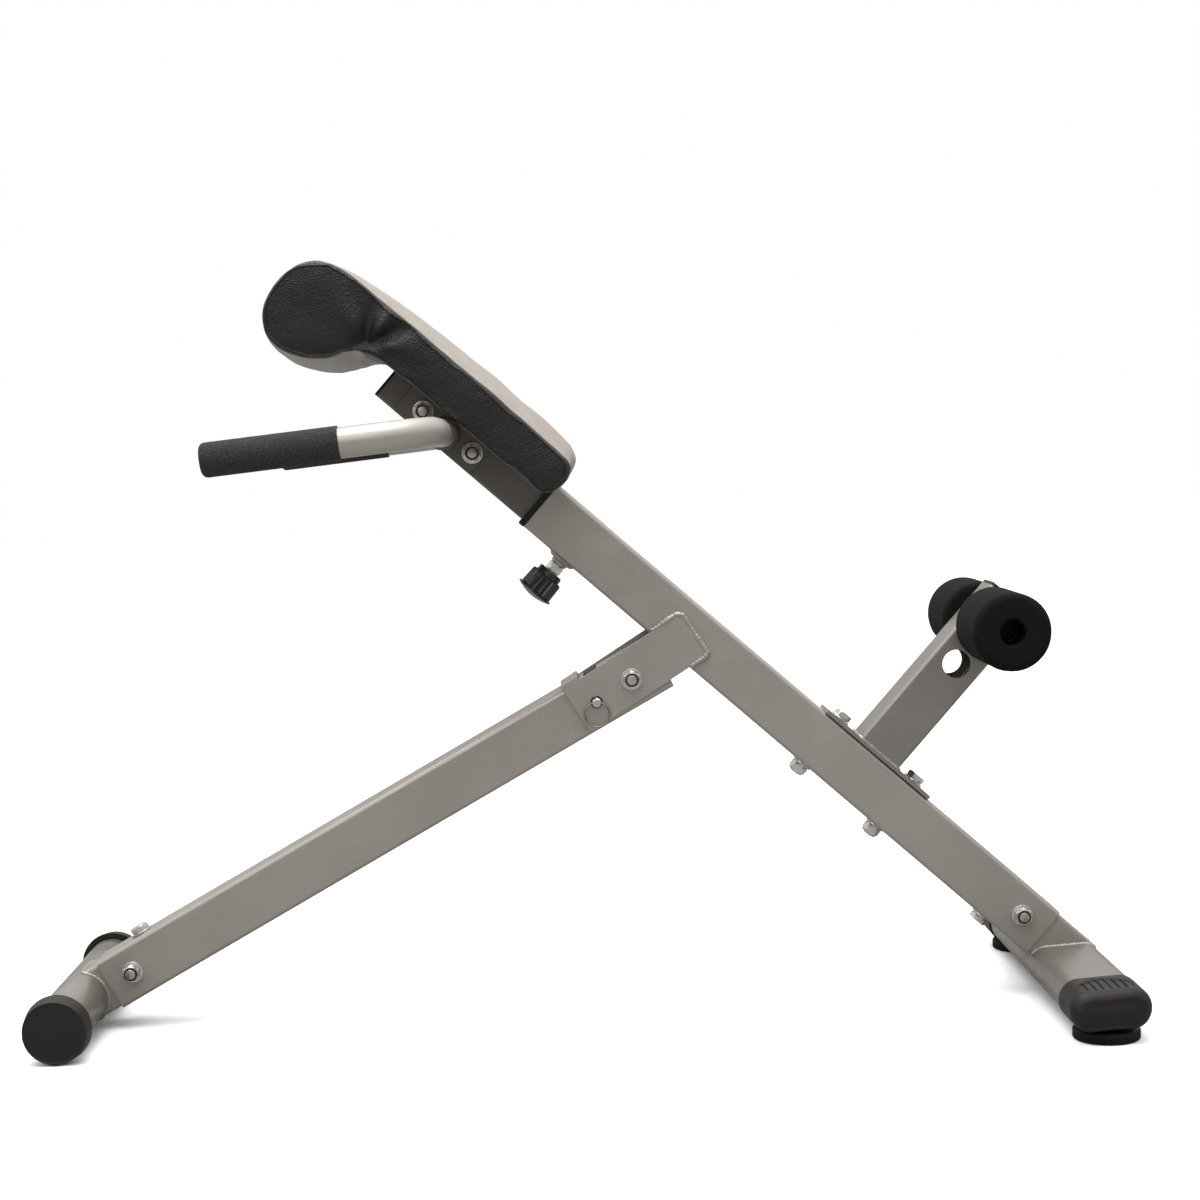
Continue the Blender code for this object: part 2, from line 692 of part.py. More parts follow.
def make_ankle_support():
    frame = main_frame(ANKLE_S)
    along_y = Matrix.Rotation(pi / 2, 4, "X")
    base = TUBE_SIZE / 2 + GAP
    half_length = ANKLE_PLATE_LENGTH / 2
    half_width = TUBE_SIZE / 2
    plate = box_mesh((-half_length, -half_width, base), (half_length, half_width, base + ANKLE_PLATE))
    made = part("ankle_post", plate, frame, "silver_paint")
    upright = frame @ Matrix.Rotation(-pi / 2, 4, "Y")
    tube = square_tube_mesh(
        ANKLE_POST_SIZE, TUBE_WALL, TUBE_CORNER, base + ANKLE_PLATE / 2, ANKLE_TOP_N)
    join(made, tube, upright)
    for side in (-1, 1):
        drill(made, main_frame(ANKLE_S + side * ANKLE_BOLT_OFFSET), BOLT_HOLE, 0.02, 0.04)
    drill(made, main_frame(ANKLE_S, SPARE_HOLE_N) @ along_y, SPARE_HOLE_RADIUS, -0.05, 0.05, 28)
    roller_hole = ROLLER_TUBE_RADIUS + GAP
    drill(made, main_frame(ANKLE_S, ROLLER_N) @ along_y, roller_hole, -0.05, 0.05, 28)

    for side, label in ((-1, "upper"), (1, "lower")):
        seat = base + ANKLE_PLATE + GAP
        place = main_frame(ANKLE_S + side * ANKLE_BOLT_OFFSET)
        down = place @ Matrix.Translation((0, 0, seat)) @ Matrix.Rotation(pi, 4, "X")
        bolt("ankle_bolt_" + label, down, seat + base + nut_stack() + 0.001)
        under = place @ Matrix.Translation((0, 0, -base)) @ Matrix.Rotation(pi, 4, "X")
        nut("ankle_nut_" + label, under)

    plug_size = ANKLE_POST_SIZE - 2 * TUBE_WALL - 2 * GAP
    top = ANKLE_TOP_N + GAP
    lid = rounded_rectangle(ANKLE_POST_SIZE, ANKLE_POST_SIZE, TUBE_CORNER, 3)
    cap = part("ankle_post_cap", prism_mesh((lid,), top, top + 0.003, "Z"), frame, "black_plastic")
    plug = rounded_rectangle(plug_size, plug_size, 0.002, 2)
    join(cap, prism_mesh((plug,), top - 0.012, top + 0.001, "Z"), frame)


def make_rollers():
    centre = main_frame(ANKLE_S, ROLLER_N).to_translation()
    outer = ROLLER_TUBE_RADIUS
    inner = outer - 0.0015
    half = ROLLER_TUBE_HALF
    tube = turned_mesh(((outer, half), (outer, -half), (inner, -half), (inner, half)), True, 28)
    part("roller_tube", tube, aimed(centre, (0, -1, 0)), "grey_paint", True)
    bore = ROLLER_TUBE_RADIUS + GAP
    near, far, edge = ROLLER_INNER_Y, ROLLER_OUTER_Y, 0.004
    for side, label in ((-1, "left"), (1, "right")):
        profile = (
            (ROLLER_RADIUS - edge, far), (ROLLER_RADIUS, far - edge),
            (ROLLER_RADIUS, near + edge), (ROLLER_RADIUS - edge, near),
            (bore, near), (bore, far))
        foam = turned_mesh(profile, closed=True, steps=36)
        part("foam_roller_" + label, foam, aimed(centre, (0, side, 0)), "foam", True)


# ---------------------------------------------------------------- seat post

def make_seat_post():
    frame = main_frame()
    post = part(
        "seat_post",
        square_tube_mesh(POST_SIZE, POST_WALL, POST_CORNER, POST_TOP_S, POST_FOOT_S),
        frame, "grey_paint")
    for step in range(HOLE_COUNT):
        place = main_frame(LOCK_S + step * HOLE_PITCH)
        drill(post, place, LOCK_HOLE_RADIUS, -0.04, -0.01, 12)
    for bolt_s in HANDLE_BOLT_S:
        across = main_frame(bolt_s, HANDLE_BOLT_N) @ Matrix.Rotation(pi / 2, 4, "X")
        drill(post, across, BOLT_HOLE, -0.05, 0.05)

    lid = rounded_rectangle(POST_SIZE, POST_SIZE, POST_CORNER, 3)
    plug_size = POST_SIZE - 2 * POST_WALL - 2 * GAP
    plug = rounded_rectangle(plug_size, plug_size, 0.0015, 2)
    end = POST_TOP_S - GAP
    cap = part("seat_post_cap", prism_mesh((lid,), end - 0.0025, end, "X"), frame, "black_plastic")
    join(cap, prism_mesh((plug,), end - 0.001, end + 0.014, "X"), frame)
    end = POST_FOOT_S + GAP
    foot = part("seat_post_plug", prism_mesh((lid,), end, end + 0.0025, "X"), frame, "black_plastic")
    join(foot, prism_mesh((plug,), end - 0.012, end + 0.001, "X"), frame)


def handle_path(side, overrun=0.0):
    """Out from the seat post, round the bend, then along to the grip."""
    root = main_frame(HANDLE_S, HANDLE_N).to_translation()
    forward = Vector((-cos(HANDLE_SLOPE), 0, -sin(HANDLE_SLOPE)))
    outward = Vector((0, side, 0))
    wall_y = POST_SIZE / 2 + GAP + HANDLE_PLATE / 2
    bend_y = HANDLE_Y - HANDLE_BEND
    steps = 8
    points = [root + outward * (wall_y + overrun)]
    centre = root + outward * bend_y + forward * HANDLE_BEND
    for i in range(steps + 1):
        turn = pi / 2 * i / steps
        points.append(centre - forward * HANDLE_BEND * cos(turn) + outward * HANDLE_BEND * sin(turn))
    run = (points[-1].x - HANDLE_END_X) / cos(HANDLE_SLOPE)
    points.append(points[-1] + forward * (run + overrun))
    return points


def make_handle(side, label):
    frame = main_frame()
    inner = POST_SIZE / 2 + GAP
    near, far = sorted((side * inner, side * (inner + HANDLE_PLATE)))
    centre = (sum(HANDLE_BOLT_S) / 2 - 0.006, -0.002)
    outline = rounded_rectangle(HANDLE_PLATE_LENGTH, HANDLE_PLATE_HEIGHT, 0.002, 2, centre)
    made = part("handle_" + label, prism_mesh((outline,), near, far, "Y"), frame, "silver_paint")
    join(made, bent_tube_mesh(handle_path(side), HANDLE_RADIUS), Matrix())
    cut(made, bent_tube_mesh(handle_path(side, 0.0035), HANDLE_RADIUS - HANDLE_WALL), Matrix())
    for bolt_s in HANDLE_BOLT_S:
        across = main_frame(bolt_s, HANDLE_BOLT_N) @ Matrix.Rotation(pi / 2, 4, "X")
        drill(made, across, BOLT_HOLE, -0.05, 0.05)

    path = handle_path(side)
    forward = (path[-1] - path[-2]).normalized()
    mouth = path[-1] + forward * ((path[-1].x - GRIP_END_X) / cos(HANDLE_SLOPE))
    bore = HANDLE_RADIUS + GAP
    wall = 0.003
    profile = (
        (0.0, 0.0), (GRIP_RADIUS - wall, 0.0), (GRIP_RADIUS, -wall), (GRIP_RADIUS, -GRIP_LENGTH),
        (bore, -GRIP_LENGTH), (bore, -wall), (0.0, -wall))
    grip = turned_mesh(profile, steps=24)
    part("grip_" + label, grip, aimed(mouth, forward), "black_plastic", True)


def make_handles():
    for side, label in ((-1, "left"), (1, "right")):
        make_handle(side, label)
    half_span = POST_SIZE / 2 + GAP + HANDLE_PLATE
    for bolt_s, label in zip(HANDLE_BOLT_S, ("upper", "lower")):
        point = main_frame(bolt_s, HANDLE_BOLT_N).to_translation()
        crossing_bolt("handle_bolt_" + label, "handle_nut_" + label, point, half_span)


# ---------------------------------------------------------------- pad

def make_pad_supports():
    bar_low = POST_SIZE / 2 + GAP
    bar_high = bar_low + BAR_THICKNESS
    board_low = bar_high + GAP
    board = part(
        "pad_board",
        box_mesh((BOARD_TOP_S, -BOARD_HALF_WIDTH, board_low),
                 (BOARD_FOOT_S, BOARD_HALF_WIDTH, board_low + BOARD_THICKNESS)),
        main_frame(), "plywood")
    screw_radius = PAD_SCREW_RADIUS
    screw_top = board_low + PAD_SCREW_BITE
    for bar_s, label in zip(BAR_S, ("upper", "lower")):
        frame = main_frame(bar_s)
        bar = part(
            "pad_bar_" + label,
            box_mesh((-BAR_WIDTH / 2, -BAR_HALF_LENGTH, bar_low),
                     (BAR_WIDTH / 2, BAR_HALF_LENGTH, bar_high)),
            frame, "grey_paint")
        for side, hand in ((-1, "left"), (1, "right")):
            place = frame @ Matrix.Translation((0, side * PAD_SCREW_Y, 0))
            drill(bar, place, screw_radius + GAP, 0.0, 0.05, 16)
            drill(board, place, screw_radius + GAP, 0.0, screw_top + 0.0005, 16)
            head_top = bar_low - GAP
            profile = (
                (0.0, screw_top), (screw_radius, screw_top),
                (screw_radius, head_top), (0.0065, head_top), (0.0065, head_top - 0.0022),
                (0.0045, head_top - 0.0040), (0.0, head_top - 0.0044))
            screw = turned_mesh(profile, steps=16)
            part("pad_screw_" + label + "_" + hand, screw, place, "zinc", True)


def pad_outline():
    """Side outline of the pad in the main tube's frame, anticlockwise from the foot end."""
    crease = (-0.469, PAD_HEM_N)
    roll = ((-0.4835, -0.0135), (-0.4995, -0.0310), (-0.5210, -0.0420), (-0.5430, -0.0440),
            (-0.5580, -0.0365), (-0.5670, -0.0225), (-0.5715, -0.0020), (-0.5705, 0.0180),
            (-0.5640, 0.0340), (-0.5530, 0.0445), (-0.5330, 0.0510), (-0.5040, PAD_SEAM_N))
    top = ((-0.4450, PAD_SEAM_N), (-0.3850, PAD_SEAM_N), (-0.3250, PAD_SEAM_N),
           (-0.2580, PAD_SEAM_N))
    foot = ((-0.2450, 0.0490), (-0.2405, 0.0400), (-0.2420, 0.0260), (-0.2470, 0.0160),
            (-0.2550, PAD_HEM_N + 0.0015))
    hem = ((-0.3250, PAD_HEM_N), (-0.3850, PAD_HEM_N), (-0.4400, PAD_HEM_N))
    return top + foot + hem + (crease,) + roll


def swollen(s, n, amount):
    """An outline point moved out by the pad's crown, or by the roll's fullness."""
    if n > PAD_TOP_FROM:
        along = (s - CROWN_S) / CROWN_HALF
        return s, n + amount * CROWN_HEIGHT * max(0.0, 1 - along * along)
    if s < ROLL_FROM:
        away = Vector((s - ROLL_CENTRE_S, n)).normalized() * ROLL_FULLNESS * amount
        return s + away.x, n + away.y
    return s, n


def cushion_mesh():
    """The outline lofted across the width, fuller in the middle than at the side panels."""
    outline = pad_outline()
    shape = bmesh.new()
    rows = []
    for fraction in (-1.0, -0.94, -0.75, -0.4, 0.0, 0.4, 0.75, 0.94, 1.0):
        row = []
        for s, n in outline:
            along, up = swollen(s, n, 1 - fraction * fraction)
            row.append(shape.verts.new((along, fraction * PAD_HALF_WIDTH, up)))
        rows.append(row)
    count = len(outline)
    for first, second in zip(rows, rows[1:]):
        for i in range(count):
            k = (i + 1) % count
            shape.faces.new((first[i], first[k], second[k], second[i]))
    shape.faces.new(rows[0])
    shape.faces.new(rows[-1])
    bmesh.ops.recalc_face_normals(shape, faces=shape.faces)
    mesh = bpy.data.meshes.new("cushion")
    shape.to_mesh(mesh)
    shape.free()
    return mesh


def make_cushion():
    frame = main_frame()
    cushion = part("cushion", cushion_mesh(), frame, "leather")
    board_top = POST_SIZE / 2 + GAP + BAR_THICKNESS + GAP + BOARD_THICKNESS
    half = BOARD_HALF_WIDTH + GAP
    pocket = box_mesh(
        (BOARD_TOP_S - GAP, -half, -0.02), (BOARD_FOOT_S + GAP, half, board_top + GAP))
    cut(cushion, pocket, frame)
    tube_top = TUBE_SIZE / 2 + 0.002
    end_relief = box_mesh((BOARD_FOOT_S - 0.001, -half, -0.02), (-0.20, half, tube_top))
    cut(cushion, end_relief, frame)


# ---------------------------------------------------------------- lock knob

def make_lock():
    """Spring plunger in a threaded collar under the main tube."""
    frame = lock_frame()
    thread = HOUSING_RADIUS + GAP
    collar = turned_mesh(
        ((0.0100, COLLAR_HEIGHT), (0.0110, COLLAR_HEIGHT - 0.0015), (0.0120, 0.0038),
         (COLLAR_RADIUS, 0.0030), (COLLAR_RADIUS, GAP), (thread, GAP), (thread, COLLAR_HEIGHT)),
        closed=True, steps=24)
    part("lock_collar", collar, frame, "silver_paint", True)

    wall = -TUBE_WALL + GAP
    guide = PLUNGER_RADIUS + GAP
    chamber = 0.0046
    chamber_start, chamber_end = 0.0008, 0.0145
    housing = part(
        "lock_housing", rod_mesh(HOUSING_HEX, COLLAR_HEIGHT + GAP, HOUSING_END, 6), frame, "zinc")
    join(housing, rod_mesh(HOUSING_RADIUS, wall, HOUSING_END - 0.001), frame)
    drill(housing, frame, guide, -0.01, 0.03)
    drill(housing, frame, chamber, chamber_start, chamber_end)

    flange = chamber - 0.0003
    plunger = turned_mesh(
        ((0.0, 0.0400), (PLUNGER_RADIUS, 0.0400), (PLUNGER_RADIUS, 0.0032), (flange, 0.0032),
         (flange, chamber_start + GAP), (PLUNGER_RADIUS, chamber_start + GAP),
         (PLUNGER_RADIUS, wall), (0.0, wall)), steps=16)
    part("lock_plunger", plunger, frame, "zinc", True)

    turns, per_turn, wire, reach = 5, 8, 0.0004, 0.0038
    start, end = 0.0041, 0.0139
    count = turns * per_turn
    coil = []
    for i in range(count + 1):
        turn = 2 * pi * i / per_turn
        coil.append((reach * cos(turn), reach * sin(turn), start + (end - start) * i / count))
    part("lock_spring", bent_tube_mesh(coil, wire, 1), frame, "zinc", True)

    bore = PLUNGER_RADIUS + GAP
    knob = turned_mesh(
        ((0.0, KNOB_END), (0.0120, KNOB_END - 0.0008), (0.0200, KNOB_END - 0.0042),
         (0.0204, KNOB_END - 0.0062), (0.0180, KNOB_END - 0.0066), (0.0172, KNOB_START + 0.0062),
         (0.0140, KNOB_START + 0.0058), (0.0136, KNOB_START), (bore, KNOB_START),
         (bore, 0.0403), (0.0, 0.0403)), steps=28)
    part("lock_knob", knob, frame, "black_plastic", True)


# ---------------------------------------------------------------- build

clear_scene()
PARTS = new_collection("roman_chair")
CUTTERS = new_collection("cutters")

make_main_tube()
make_guide_sleeve()
make_fold_bracket()
make_leg()
make_front_stabilizer()
make_fold_pin()
make_rear_stabilizer()
for hand_side, hand_label in ((-1, "left"), (1, "right")):
    make_rear_cap("rear_cap_" + hand_label, hand_side)
    make_foot(hand_label, hand_side)
make_ankle_support()
make_rollers()
make_seat_post()
make_handles()
make_pad_supports()
make_cushion()
make_lock()

LEG_PIECES = ("leg_tube", "pivot_bush", "front_stabilizer", "front_cap_left", "front_cap_right",
              "leg_side_bolt", "leg_side_nut", "leg_top_bolt")
SEAT_PREFIXES = ("seat_post", "handle_", "grip_", "pad_", "cushion")
carry("leg_fold_axis", leg_frame(), [PARTS.objects[name] for name in LEG_PIECES])
carry("seat_slide_axis", main_frame(),
      [piece for piece in PARTS.objects if piece.name.startswith(SEAT_PREFIXES)])
carry("lock_pull_axis", lock_frame(), [PARTS.objects["lock_plunger"], PARTS.objects["lock_knob"]])
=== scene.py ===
"""Looks of the roman chair: materials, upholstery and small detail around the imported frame.

Metres, +Z up, in the frame's own axes: +X is the foot end, -Y the user's left.
Most of the bench is laid out along its inclined main tube, in a frame whose X runs down
the tube and whose Z is square to it.
"""

import json
from math import atan2, cos, degrees, exp, pi, radians, sin, sqrt

import bmesh
import bpy
from mathutils import Matrix, Vector, noise
from mathutils.bvhtree import BVHTree

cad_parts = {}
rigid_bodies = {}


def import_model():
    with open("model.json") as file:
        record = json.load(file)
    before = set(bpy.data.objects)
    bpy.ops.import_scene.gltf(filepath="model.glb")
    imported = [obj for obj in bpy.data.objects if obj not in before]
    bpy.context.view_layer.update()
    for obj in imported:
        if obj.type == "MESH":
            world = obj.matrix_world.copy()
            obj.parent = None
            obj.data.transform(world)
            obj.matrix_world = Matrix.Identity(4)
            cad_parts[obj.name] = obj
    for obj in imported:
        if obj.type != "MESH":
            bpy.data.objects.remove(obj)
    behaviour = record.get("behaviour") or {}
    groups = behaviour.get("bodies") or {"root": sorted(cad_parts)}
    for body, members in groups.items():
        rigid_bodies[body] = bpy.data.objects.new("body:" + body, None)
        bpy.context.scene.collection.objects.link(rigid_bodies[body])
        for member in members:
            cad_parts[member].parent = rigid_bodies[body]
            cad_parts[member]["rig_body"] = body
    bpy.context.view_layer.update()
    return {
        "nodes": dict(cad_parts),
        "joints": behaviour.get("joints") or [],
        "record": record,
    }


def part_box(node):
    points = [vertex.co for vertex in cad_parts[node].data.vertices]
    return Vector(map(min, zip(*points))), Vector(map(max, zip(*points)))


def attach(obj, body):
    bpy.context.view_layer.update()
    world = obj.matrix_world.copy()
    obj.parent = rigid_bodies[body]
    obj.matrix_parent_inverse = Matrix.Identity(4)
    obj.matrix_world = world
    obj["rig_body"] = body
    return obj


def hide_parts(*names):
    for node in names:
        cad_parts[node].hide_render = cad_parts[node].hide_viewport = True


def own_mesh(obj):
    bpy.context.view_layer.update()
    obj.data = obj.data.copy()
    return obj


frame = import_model()
NODES = frame["nodes"]
JOINTS = {joint["name"]: joint for joint in frame["joints"]}
Y_AXIS = Vector((0, 1, 0))


# ---------------------------------------------------------------- places

def axes_at(origin, x_axis):
    """A frame in the bench's middle plane: X as given, Y across, Z square to both."""
    x = Vector(x_axis).normalized()
    z = x.cross(Y_AXIS)
    turn = Matrix((x, Y_AXIS, z)).transposed().to_4x4()
    return Matrix.Translation(origin) @ turn


def centre(node):
    low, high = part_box(node)
    return (low + high) / 2


def flattened(spot):
    """A spot brought to the bench's middle plane."""
    return Vector((spot.x, 0.0, spot.z))


def round_axis(node):
    """Middle line of a round node across the bench that may be cut flat below."""
    low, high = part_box(node)
    return Vector(((low.x + high.x) / 2, 0, high.z - (high.x - low.x) / 2))


def extent(node, place):
    """Lowest and highest corner of a CAD node, measured in a frame of its own."""
    back = place.inverted()
    spots = [back @ vertex.co for vertex in NODES[node].data.vertices]
    low = Vector([min(spot[i] for spot in spots) for i in range(3)])
    high = Vector([max(spot[i] for spot in spots) for i in range(3)])
    return low, high


MAIN = axes_at(centre("main_tube"), -Vector(JOINTS["seat_slide"]["axis"]))
PIVOT = Vector(JOINTS["leg_fold"]["pos_m"])
FRONT_AXIS = round_axis("front_cap_left")
LEG = axes_at(PIVOT, PIVOT - FRONT_AXIS)
BRACKET = axes_at(PIVOT, PIVOT - flattened(centre("fold_pin")))
REAR_TILT = radians(3.5)      # the oval tube leans with its cap
REAR = axes_at(flattened(centre("rear_cap_left")), (cos(REAR_TILT), 0, sin(REAR_TILT)))
MAIN_BACK = MAIN.inverted()
TUBE_HALF = 0.0275            # half the width of the main tube
WALL = 0.002                  # of the cross tubes


def in_main(point):
    """A point in the main tube's frame."""
    return MAIN_BACK @ point


def main_way(x, y, z):
    """A direction given in the main tube's frame."""
    return MAIN.to_3x3() @ Vector((x, y, z))


def side_view(point):
    """A point as seen from the side of the main tube, and its distance from the middle plane."""
    place = in_main(point)
    return Vector((place.x, place.z)), abs(place.y)


# ---------------------------------------------------------------- materials

def shader_of(material):
    return material.node_tree.nodes["Principled BSDF"]


def new_material(name, colour, roughness, metallic=0.0, **sockets):
    material = bpy.data.materials.new(name)
    material.use_nodes = True
    shader = shader_of(material)
    shader.inputs["Base Color"].default_value = (*colour, 1.0)
    shader.inputs["Roughness"].default_value = roughness
    shader.inputs["Metallic"].default_value = metallic
    for socket, value in sockets.items():
        shader.inputs[socket.replace("_", " ")].default_value = value
    return material


def add_node(material, kind, **settings):
    made = material.node_tree.nodes.new(kind)
    for key, value in settings.items():
        if key in made.inputs:
            made.inputs[key].default_value = value
        else:
            setattr(made, key, value)
    return made


def wire(material, source, target):
    material.node_tree.links.new(source, target)


def coordinates(material):
    return add_node(material, "ShaderNodeTexCoord").outputs["Object"]


def noise_value(material, scale, detail=3.0, stretch=None):
    """A noise value over the object's own coordinates."""
    made = add_node(material, "ShaderNodeTexNoise", Scale=scale, Detail=detail)
    spot = coordinates(material)
    if stretch:
        mapping = add_node(material, "ShaderNodeMapping", Scale=stretch)
        wire(material, spot, mapping.inputs["Vector"])
        spot = mapping.outputs["Vector"]
    wire(material, spot, made.inputs["Vector"])
    return made.outputs["Fac"]


def ramp(material, value, stops):
    made = add_node(material, "ShaderNodeValToRGB")
    wire(material, value, made.inputs["Fac"])
    elements = made.color_ramp.elements
    while len(elements) < len(stops):
        elements.new(0.5)
    for element, (place, colour) in zip(elements, stops):
        element.position = place
        element.color = (*colour, 1.0)
    return made.outputs["Color"]


def spread(material, value, low, high):
    """Maps a value's middle range to low..high."""
    made = add_node(material, "ShaderNodeMapRange")
    wire(material, value, made.inputs["Value"])
    made.inputs["From Min"].default_value = 0.3
    made.inputs["From Max"].default_value = 0.7
    made.inputs["To Min"].default_value = low
    made.inputs["To Max"].default_value = high
    return made.outputs["Result"]


def add_bump(material, height, strength, distance):
    shader = shader_of(material)
    made = add_node(material, "ShaderNodeBump", Strength=strength, Distance=distance)
    before = shader.inputs["Normal"]
    if before.is_linked:
        wire(material, before.links[0].from_socket, made.inputs["Normal"])
    wire(material, height, made.inputs["Height"])
    wire(material, made.outputs["Normal"], before)


def tinted(colour, factor):
    return tuple(min(1.0, channel * factor) for channel in colour)


def between(colour, dark, light, low=0.30, high=0.70):
    """Ramp stops from a darker to a lighter tint of a colour."""
    return (low, tinted(colour, dark)), (high, tinted(colour, light))


def grey(level):
    return (level, level, level)


def cell_value(material, scale):
    """Distance from the middles of small cells."""
    made = add_node(material, "ShaderNodeTexVoronoi", Scale=scale)
    wire(material, coordinates(material), made.inputs["Vector"])
    return made.outputs["Distance"]


def tint_by(material, value, stops):
    """Colours the material by a value."""
    wire(material, ramp(material, value, stops), shader_of(material).inputs["Base Color"])


def roughen_by(material, value, low, high):
    """Varies the material's roughness by a value."""
    wire(material, spread(material, value, low, high), shader_of(material).inputs["Roughness"])


def mix_into_colour(material, first, second, **settings):
    """Mixes two colours into the material's own; gives back the input that says how much."""
    made = add_node(material, "ShaderNodeMix", data_type="RGBA", **settings)
    wire(material, first, made.inputs["A"])
    wire(material, second, made.inputs["B"])
    wire(material, made.outputs["Result"], shader_of(material).inputs["Base Color"])
    return made.inputs["Factor"]


def powder_coat(name, colour, roughness, metallic):
    """Metallic powder coat: fine flakes, a faint orange peel and slight cloudiness."""
    material = new_material(name, colour, roughness, metallic)
    flakes = noise_value(material, 1400.0, 2.0)
    shade = ramp(material, flakes, between(colour, 0.92, 1.08, high=0.72))
    cloud = ramp(material, noise_value(material, 9.0, 4.0), ((0.30, grey(0.93)), (0.70, grey(1.05))))
    mix_into_colour(material, shade, cloud, blend_type="MULTIPLY").default_value = 1.0
    roughen_by(material, noise_value(material, 45.0, 5.0), roughness - 0.06, roughness + 0.07)
    add_bump(material, noise_value(material, 420.0, 2.0), 0.10, 0.0004)
    return material


def zinc_plate():
    material = new_material("bright_zinc", (0.74, 0.74, 0.72), 0.26, 1.0)
    tint_by(material, noise_value(material, 40.0),
            ((0.32, (0.53, 0.53, 0.51)), (0.68, (0.61, 0.61, 0.59))))
    roughen_by(material, noise_value(material, 60.0), 0.24, 0.32)
    return material


def turned_steel(name, colour):
    """Steel with fine rings left by the lathe, square to the bench's Y."""
    material = new_material(name, colour, 0.30, 1.0)
    rings = noise_value(material, 900.0, 2.0, (0.1, 1.0, 0.1))
    roughen_by(material, rings, 0.22, 0.42)
    add_bump(material, rings, 0.10, 0.0002)
    return material


def moulded_plastic(name, colour, roughness, gloss=0.25):
    """Injection moulded plastic with a fine spark-eroded texture."""
    material = new_material(name, colour, roughness, Specular_IOR_Level=gloss)
    tint_by(material, noise_value(material, 30.0, 4.0), between(colour, 0.85, 1.30))
    roughen_by(material, noise_value(material, 60.0, 4.0), roughness - 0.05, roughness + 0.08)
    add_bump(material, noise_value(material, 1500.0, 2.0), 0.22, 0.0003)
    return material


def closed_cell_foam(name, colour, gloss=0.20):
    """Foam with small cells and a soft, slightly uneven skin."""
    material = new_material(name, colour, 0.95, Specular_IOR_Level=gloss)
    cells = cell_value(material, 760.0)
    tint_by(material, cells,
            ((0.05, tinted(colour, 0.55)), (0.45, colour), (0.95, tinted(colour, 1.7))))
    add_bump(material, cells, 0.55, 0.0010)
    add_bump(material, noise_value(material, 120.0), 0.30, 0.0012)
    return material


def plywood():
    material = new_material("plywood", (0.42, 0.30, 0.18), 0.8)
    grain = noise_value(material, 14.0, 6.0, (9.0, 1.0, 9.0))
    tint_by(material, grain, ((0.3, (0.30, 0.20, 0.11)), (0.7, (0.52, 0.38, 0.24))))
    add_bump(material, grain, 0.2, 0.0005)
    return material


def grained_leather(name, colour, roughness, gloss=0.42):
    """Pebbled synthetic leather."""
    material = new_material(name, colour, roughness, Specular_IOR_Level=gloss)
    tint_by(material, noise_value(material, 55.0, 5.0), between(colour, 0.82, 1.20, 0.28, 0.72))
    pebbles = cell_value(material, 620.0)
    roughen_by(material, pebbles, roughness - 0.05, roughness + 0.10)
    add_bump(material, pebbles, 0.75, 0.0008)
    add_bump(material, noise_value(material, 150.0), 0.28, 0.0010)
    return material


def sewn_cover(dark, light):
    """Two leathers in one cover; the strip value on its points tells which is which."""
    material = grained_leather("sewn_cover", dark, 0.36, 0.33)
    shade = shader_of(material).inputs["Base Color"].links[0].from_socket
    pale = ramp(material, noise_value(material, 70.0, 5.0), between(light, 0.90, 1.08, 0.28, 0.72))
    strip = add_node(material, "ShaderNodeAttribute", attribute_name="strip")
    choice = ramp(material, strip.outputs["Fac"], ((0.49, grey(0)), (0.51, grey(1))))
    wire(material, choice, mix_into_colour(material, shade, pale))
    return material


SILVER = powder_coat("silver_grey_coat", (0.315, 0.291, 0.263), 0.38, 0.55)
# A darker copy of the silver coat for the cross tubes: painted shade, where the main tube and its stubs
# shade them.
SHADED_CROSS_COAT = powder_coat("shaded_cross_tube_coat", (0.205, 0.190, 0.172), 0.33, 0.60)
# A darker copy of the silver coat for the ankle post: painted shade on its sides.
SHADED_POST_COAT = powder_coat("shaded_post_coat", (0.215, 0.200, 0.181), 0.36, 0.58)
# A much darker copy of the silver coat for the seat post, the handle plates and their welds: painted shade
# under the pad.
PAD_SHADE_COAT = powder_coat("pad_shade_coat", (0.108, 0.101, 0.091), 0.42, 0.45)
ZINC = zinc_plate()
STEEL = turned_steel("turned_steel", (0.46, 0.41, 0.35))
RING_WIRE = turned_steel("ring_wire", (0.27, 0.24, 0.19))
PLASTIC = moulded_plastic("black_plastic", (0.0060, 0.0057, 0.0053), 0.50)
GRIP = closed_cell_foam("speckled_grip", (0.027, 0.0255, 0.0235))
FOAM = closed_cell_foam("roller_foam", (0.0046, 0.0045, 0.0040), 0.13)
PLY = plywood()
LEATHER = grained_leather("black_leather", (0.0075, 0.0072, 0.0068), 0.40)
CAP = moulded_plastic("cap_plastic", (0.0098, 0.0080, 0.0063), 0.46)
GLOSS_PLASTIC = moulded_plastic("gloss_plastic", (0.0095, 0.0092, 0.0088), 0.22, 0.55)
COVER = sewn_cover((0.0030, 0.0029, 0.0026), (0.27, 0.238, 0.207))
SEAM_EDGE = moulded_plastic("seam_edge", (0.012, 0.0115, 0.011), 0.45)
THREAD = moulded_plastic("thread", (0.058, 0.056, 0.052), 0.60)
# A lighter copy of the silver coat for the handle tubes: painted light, where they reach out from under
# the pad.
LIT_HANDLE_COAT = powder_coat("lit_handle_coat", (0.360, 0.338, 0.306), 0.40, 0.55)

# The grey_paint slot takes the darkened copy of the silver coat, painted shade under the pad.
BY_SLOT = {"silver_paint": SILVER, "grey_paint": PAD_SHADE_COAT, "zinc": ZINC, "steel": STEEL,
           "black_plastic": PLASTIC, "grip_rubber": GRIP, "foam": FOAM, "leather": LEATHER,
           "plywood": PLY}


# ---------------------------------------------------------------- carried-over CAD nodes

EASED_EDGE = 0.0004
MERGE_REACH = 0.00002
SLOTS = {entry["node"]: entry["material_slot"] for entry in frame["record"]["subparts"]}


